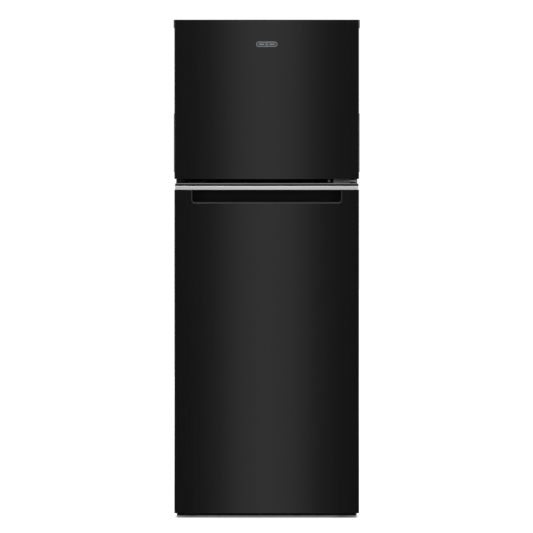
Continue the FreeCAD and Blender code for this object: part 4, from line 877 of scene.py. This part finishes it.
for door in ("freezer", "fridge"):
    low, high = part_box(f"{door}_gasket")
    bellows = piece_of(f"{door}_seal_bellows", mitred_ring(low, high, BELLOWS), seal, smooth=50)
    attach(bellows, f"{door}_door_body")
    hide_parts(f"{door}_gasket")

# ---------------------------------------------------------------- door bins
# Clear bins hang between the door liner's sides. Each has a white guard rail clipped along its
# top edge, and flutes down its front wall.

dress(clear_plastic, "freezer_door_bins", "fridge_door_bins")
RAIL_SECTION = [(-2.2, -9), (1.6, -9), (1.6, 1.2), (0.8, 2.0), (-1.4, 2.0), (-2.2, 1.2)]
rail_section = [(y * MM, z * MM) for y, z in RAIL_SECTION]
for door in ("freezer", "fridge"):
    rails, places = [], []
    for low, high in solids(f"{door}_door_bins"):
        ends = (low.x + 15 * MM, high.x - 15 * MM)
        rails.append(piece_of("rail", bar(rail_section, *ends, (high.y, high.z)), white_plastic))
        places.append((0, high.y + 0.1 * MM, low.z + 36 * MM))
    guard = joined(f"{door}_bin_rails", rails)
    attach(guard, f"{door}_door_body")
    fluted = flutes(
        f"{door}_bin_flutes",
        places,
        {"Flutes": 34, "Row": 370 * MM, "Flute": 0.9 * MM, "Height": 52 * MM},
        clear_plastic,
    )
    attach(fluted, f"{door}_door_body")

# ---------------------------------------------------------------- badge
# A small stamped badge is stuck in the middle of the freezer door, near its top. It has a bright
# rim, a sunk dark field, and a raised snow crystal between two bars.

# Bright-rolled aluminium with clear lacquer: mirror-like grey with a fine grain.
bright_metal = grained(
    "bright_stamped_aluminium", "#85868a", "#a2a3a6", 0.3, 0.6 * MM, 0.01 * MM, Metallic=0.4
)
# Dark grey lacquer in the badge's sunk field.
field_lacquer = grained("grey_field_lacquer", "#2c2d2e", "#363738", 0.4, 0.5 * MM, 0.01 * MM, IOR=1.5)
badge_low, badge_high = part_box("badge")
badge_middle = (badge_low + badge_high) / 2
END_STEPS = 14


def pill(inset, y):
    """The corners of the badge's outline, moved in, at a depth y."""
    radius = (badge_high.z - badge_low.z) / 2 - inset
    reach = badge_high.x - inset - radius
    corners = []
    for middle_x, start in ((reach, -90), (-reach, 90)):
        for n in range(END_STEPS + 1):
            angle = math.radians(start + 180 * n / END_STEPS)
            x = middle_x + radius * math.cos(angle)
            corners.append((x, y, badge_middle.z + radius * math.sin(angle)))
    return corners


def stamped(levels):
    """A closed solid through stacked outlines, each an (inset, y) pair."""
    mesh = bmesh.new()
    rings = [[mesh.verts.new(corner) for corner in pill(inset, y)] for inset, y in levels]
    for ring, other in zip(rings, rings[1:]):
        for n in range(len(ring)):
            after = (n + 1) % len(ring)
            mesh.faces.new((ring[n], ring[after], other[after], other[n]))
    mesh.faces.new(rings[0][::-1])
    mesh.faces.new(rings[-1])
    bmesh.ops.recalc_face_normals(mesh, faces=mesh.faces)
    return mesh


door_face, badge_face = badge_high.y, badge_low.y
relief_y = badge_face + 0.55 * MM
rim = stamped(
    [
        (0, door_face),
        (0, badge_face + 0.5 * MM),
        (0.5 * MM, badge_face),
        (1.3 * MM, badge_face),
        (1.7 * MM, relief_y),
        (7.9 * MM, relief_y),
    ]
)
rim.normal_update()
for face in rim.faces:
    face.material_index = int(
        all(vertex.co.y > badge_face + 0.5 * MM and vertex.co.y < door_face for vertex in face.verts)
        and abs(face.normal.y) > 0.9
    )
badge_plate = piece_of("badge_plate", rim, bright_metal)
badge_plate.data.materials.append(field_lacquer)

ARMS = 6
crystal_sizes = {"Arm": 5.2 * MM, "Width": 0.8 * MM, "Height": 0.9 * MM}
crystal_tree, sockets = tree_of("snow_crystal", crystal_sizes)
TWIG_SHARE, TWIG_ROOT, TWIG_SLANT = 0.36, 0.5, 55
twig = times(crystal_tree, sockets["Arm"], TWIG_SHARE)
arm = add(crystal_tree, "GeometryNodeJoinGeometry")
for length, root, slant in (
    (sockets["Arm"], 0.0, 0),
    (twig, TWIG_ROOT, TWIG_SLANT),
    (twig, TWIG_ROOT, -TWIG_SLANT),
):
    size = vector_of(crystal_tree, X=length, Y=sockets["Height"], Z=sockets["Width"])
    stick = add(crystal_tree, "GeometryNodeMeshCube", {"Size": size})
    reach = vector_of(crystal_tree, X=times(crystal_tree, length, 0.5))
    from_root = moved(crystal_tree, stick.outputs[0], reach)
    foot = vector_of(crystal_tree, X=times(crystal_tree, sockets["Arm"], root))
    tilted = moved(crystal_tree, from_root, foot, (0, math.radians(slant), 0))
    crystal_tree.links.new(tilted, arm.inputs[0])
turn = facing_turn(crystal_tree, "X", "Y")
arms = copies(crystal_tree, sockets["Places"], arm.outputs[0], turn)
angles = [2 * math.pi * n / ARMS for n in range(ARMS)]
ways = [Vector((math.cos(angle), 0, math.sin(angle))) for angle in angles]
crystal = grow(
    "snow_crystal",
    crystal_tree,
    arms,
    crystal_sizes,
    [(0, relief_y, badge_middle.z)] * ARMS,
    bright_metal,
    ways,
)
BAR_SECTION = [(-0.5, -1.1), (0, -1.6), (0.4, -1.6), (0.4, 1.6), (0, 1.6), (-0.5, 1.1)]
bar_section = [(y * MM, z * MM) for y, z in BAR_SECTION]
bars = []
for near_x, far_x in ((9 * MM, 25 * MM), (-25 * MM, -9 * MM)):
    bars.append(piece_of("bar", bar(bar_section, near_x, far_x, (relief_y, badge_middle.z)), bright_metal))
stamped_badge = joined("stamped_badge", [badge_plate, crystal, *bars])
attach(stamped_badge, "freezer_door_body")
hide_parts("badge")

# ---------------------------------------------------------------- hinges and bushes
# Three pressed steel hinges carry the doors on 10 mm pins that turn in moulded bushes. The upper
# two are zinc-plated, and a moulded cover clips over the top one. The bottom one is coated black.

# Zinc plating, yellow-free: pale satin metal with a faint mottling from the bath.
zinc = grained("zinc_plated_steel", "#c2c4c6", "#dcdee0", 0.3, 1.5 * MM, 0.01 * MM, Metallic=0.45)
dress(zinc, "top_hinge", "middle_hinge")
# The bottom hinge takes the rail's coat, whose near-black colour is painted shade.
dress(rail_coat_painted_shade, "bottom_hinge")
dress(black_plastic, "freezer_bushes", "fridge_bushes", "hinge_cover")

# ---------------------------------------------------------------- screws
# The hinges, the mullion strip and the back panel are held by zinc-plated pan-head screws with a
# cross recess.

RECESS_WIDTH, RECESS_DEPTH, HEAD_HEIGHT = 1.1 * MM, 1.7 * MM, 3 * MM
screw_boxes = solids("cabinet_screws")
head_radius = max((high.x - low.x) / 2 for low, high in screw_boxes)
screw_sizes = {
    "Head": head_radius,
    "Height": HEAD_HEIGHT,
    "Shank": 2.5 * MM,
    "Recess": RECESS_WIDTH,
}
screw_tree, sockets = tree_of("pan_head_screws", screw_sizes)
CROWN_SHARE, RECESS_SHARE = 0.72, 1.05
head = add(
    screw_tree,
    "GeometryNodeMeshCone",
    {
        "Vertices": 28,
        "Radius Top": times(screw_tree, sockets["Head"], CROWN_SHARE),
        "Radius Bottom": sockets["Head"],
        "Depth": sockets["Height"],
    },
)
across = times(screw_tree, sockets["Head"], RECESS_SHARE)
top = vector_of(screw_tree, Z=sockets["Height"])
recess = add(screw_tree, "GeometryNodeMeshBoolean", {"Mesh 1": head.outputs[0]}, operation="DIFFERENCE")
for x, y in ((across, sockets["Recess"]), (sockets["Recess"], across)):
    size = vector_of(screw_tree, X=x, Y=y, Z=2 * RECESS_DEPTH)
    slot_cut = add(screw_tree, "GeometryNodeMeshCube", {"Size": size})
    screw_tree.links.new(moved(screw_tree, slot_cut.outputs[0], top), recess.inputs["Mesh 2"])
SHANK_LENGTH = 8 * MM
shank = add(
    screw_tree,
    "GeometryNodeMeshCylinder",
    {"Vertices": 16, "Radius": sockets["Shank"], "Depth": SHANK_LENGTH},
)
whole = add(screw_tree, "GeometryNodeJoinGeometry")
screw_tree.links.new(recess.outputs[0], whole.inputs[0])
sunk = moved(screw_tree, shank.outputs[0], (0, 0, -SHANK_LENGTH / 2))
screw_tree.links.new(sunk, whole.inputs[0])
screws = copies(screw_tree, sockets["Places"], whole.outputs[0], facing_turn(screw_tree, "Z"))
seats, directions = [], []
for low, high in screw_boxes:
    middle = (low + high) / 2
    if high.z - low.z > high.y - low.y:
        direction = Vector((0, 0, 1))
        seat = Vector((middle.x, middle.y, high.z - HEAD_HEIGHT))
    elif middle.y > 0:
        direction = Vector((0, 1, 0))
        seat = Vector((middle.x, high.y - HEAD_HEIGHT, middle.z))
    else:
        direction = Vector((0, -1, 0))
        seat = Vector((middle.x, low.y + HEAD_HEIGHT, middle.z))
    seats.append(seat)
    directions.append(direction)
pan_screws = grow("pan_head_screws", screw_tree, screws, screw_sizes, seats, zinc, directions)
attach(pan_screws, "cabinet")
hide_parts("cabinet_screws")

# ---------------------------------------------------------------- plugs and spacers
# Moulded plugs close the holes that take the hinges when the doors are hung on the left, and two
# moulded blocks on the back keep it off the wall.

dress(black_plastic, "hole_plugs", "wall_spacers")

# ---------------------------------------------------------------- studio
# The camera stands about 2.9 m in front of the doors at half their height. The floor is plain
# and pale, and a tall soft strip behind the camera gives the doors their upright sheen.

CAMERA_DISTANCE = 2.9
CAMERA_HEIGHT = 0.8285
CAMERA_SIDE = -0.7 * MM
SKIN_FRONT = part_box("fridge_skin")[0].y

camera = bpy.data.objects.new("camera", bpy.data.cameras.new("camera"))
camera.location = (CAMERA_SIDE, SKIN_FRONT - CAMERA_DISTANCE, CAMERA_HEIGHT)
camera.rotation_euler = (math.pi / 2, 0, 0)
camera.data.sensor_width = 36
camera.data.lens = 60.7
bpy.context.scene.collection.objects.link(camera)
bpy.context.scene.camera = camera

FLOOR_REACH = 30.0
floor_mesh = bpy.data.meshes.new("floor")
floor_mesh.from_pydata(
    [(x * FLOOR_REACH, y * FLOOR_REACH, 0) for x, y in ((-1, -1), (1, -1), (1, 1), (-1, 1))],
    [],
    [(0, 1, 2, 3)],
)
floor = bpy.data.objects.new("floor", floor_mesh)
bpy.context.scene.collection.objects.link(floor)


def painted_shadow_paper():
    """Matt white paper that glows evenly, with a painted contact shadow: close to the object, ambient
    occlusion darkens its colour towards black and dims its emission.
    """
    material, tree, place = new_finish("white_paper_painted_contact_shadow")
    fibres = add(tree, "ShaderNodeTexNoise", {"Vector": place, "Scale": 1 / (3 * MM)})
    white = add(
        tree,
        "ShaderNodeMix",
        {"Factor": fibres.outputs["Fac"], 6: linear("#7a7a7a"), 7: linear("#828282")},
        data_type="RGBA",
    )
    # Painted contact shadow: ambient occlusion near the object darkens the colour and dims the emission.
    contact = add(tree, "ShaderNodeAmbientOcclusion", {"Distance": 21 * MM})
    painted_shadow_lightness = add(tree, "ShaderNodeMath", {0: contact.outputs["AO"], 1: 6.0}, operation="POWER")
    paper_with_painted_shadow = add(
        tree,
        "ShaderNodeMix",
        {"Factor": painted_shadow_lightness.outputs[0], 6: linear("#040404"), 7: white.outputs[2]},
        data_type="RGBA",
    )
    inputs = {"Base Color": paper_with_painted_shadow.outputs[2], "Roughness": 0.9, "Emission Color": (1, 1, 1, 1)}
    inputs["Emission Strength"] = painted_shadow_lightness.outputs[0]
    surface(tree, inputs)
    return material


floor.data.materials.append(painted_shadow_paper())
floor.visible_glossy = False
floor.visible_shadow = False
floor.visible_diffuse = False

world = bpy.data.worlds.new("studio")
world.use_nodes = True
world.node_tree.nodes["Background"].inputs["Color"].default_value = (1, 1, 1, 1)
world.node_tree.nodes["Background"].inputs["Strength"].default_value = 1.06
bpy.context.scene.world = world
world.cycles_visibility.glossy = False
bpy.context.scene.view_settings.view_transform = "Standard"


def soft_light(name, place, aim, width, height, power):
    """A rectangular soft box at a place, turned to face a point."""
    data = bpy.data.lights.new(name, "AREA")
    data.shape = "RECTANGLE"
    data.size, data.size_y = width, height
    data.energy = power
    light = bpy.data.objects.new(name, data)
    light.location = place
    light.rotation_euler = (Vector(aim) - Vector(place)).to_track_quat("-Z", "Y").to_euler()
    light.visible_camera = False
    bpy.context.scene.collection.objects.link(light)


soft_light("front_strip", (0, -3.4, 0.83), (0, 0, 0.83), 0.5, 6.0, 7.5)
soft_light("overhead", (0, -0.6, 3.6), (0, 0, 0), 2.4, 1.6, 90)
soft_light("left_front", (-2.6, -2.9, 1.0), (0, 0, 0.9), 0.5, 3.4, 9)
soft_light("right_front", (2.6, -2.9, 1.0), (0, 0, 0.9), 0.5, 3.4, 9)
soft_light("left_side", (-3.2, 0.2, 1.2), (0, 0, 0.9), 1.2, 3.0, 60)
soft_light("right_side", (3.2, 0.2, 1.2), (0, 0, 0.9), 1.2, 3.0, 60)
soft_light("behind", (0, 3.4, 1.2), (0, 0, 0.9), 2.0, 3.0, 50)
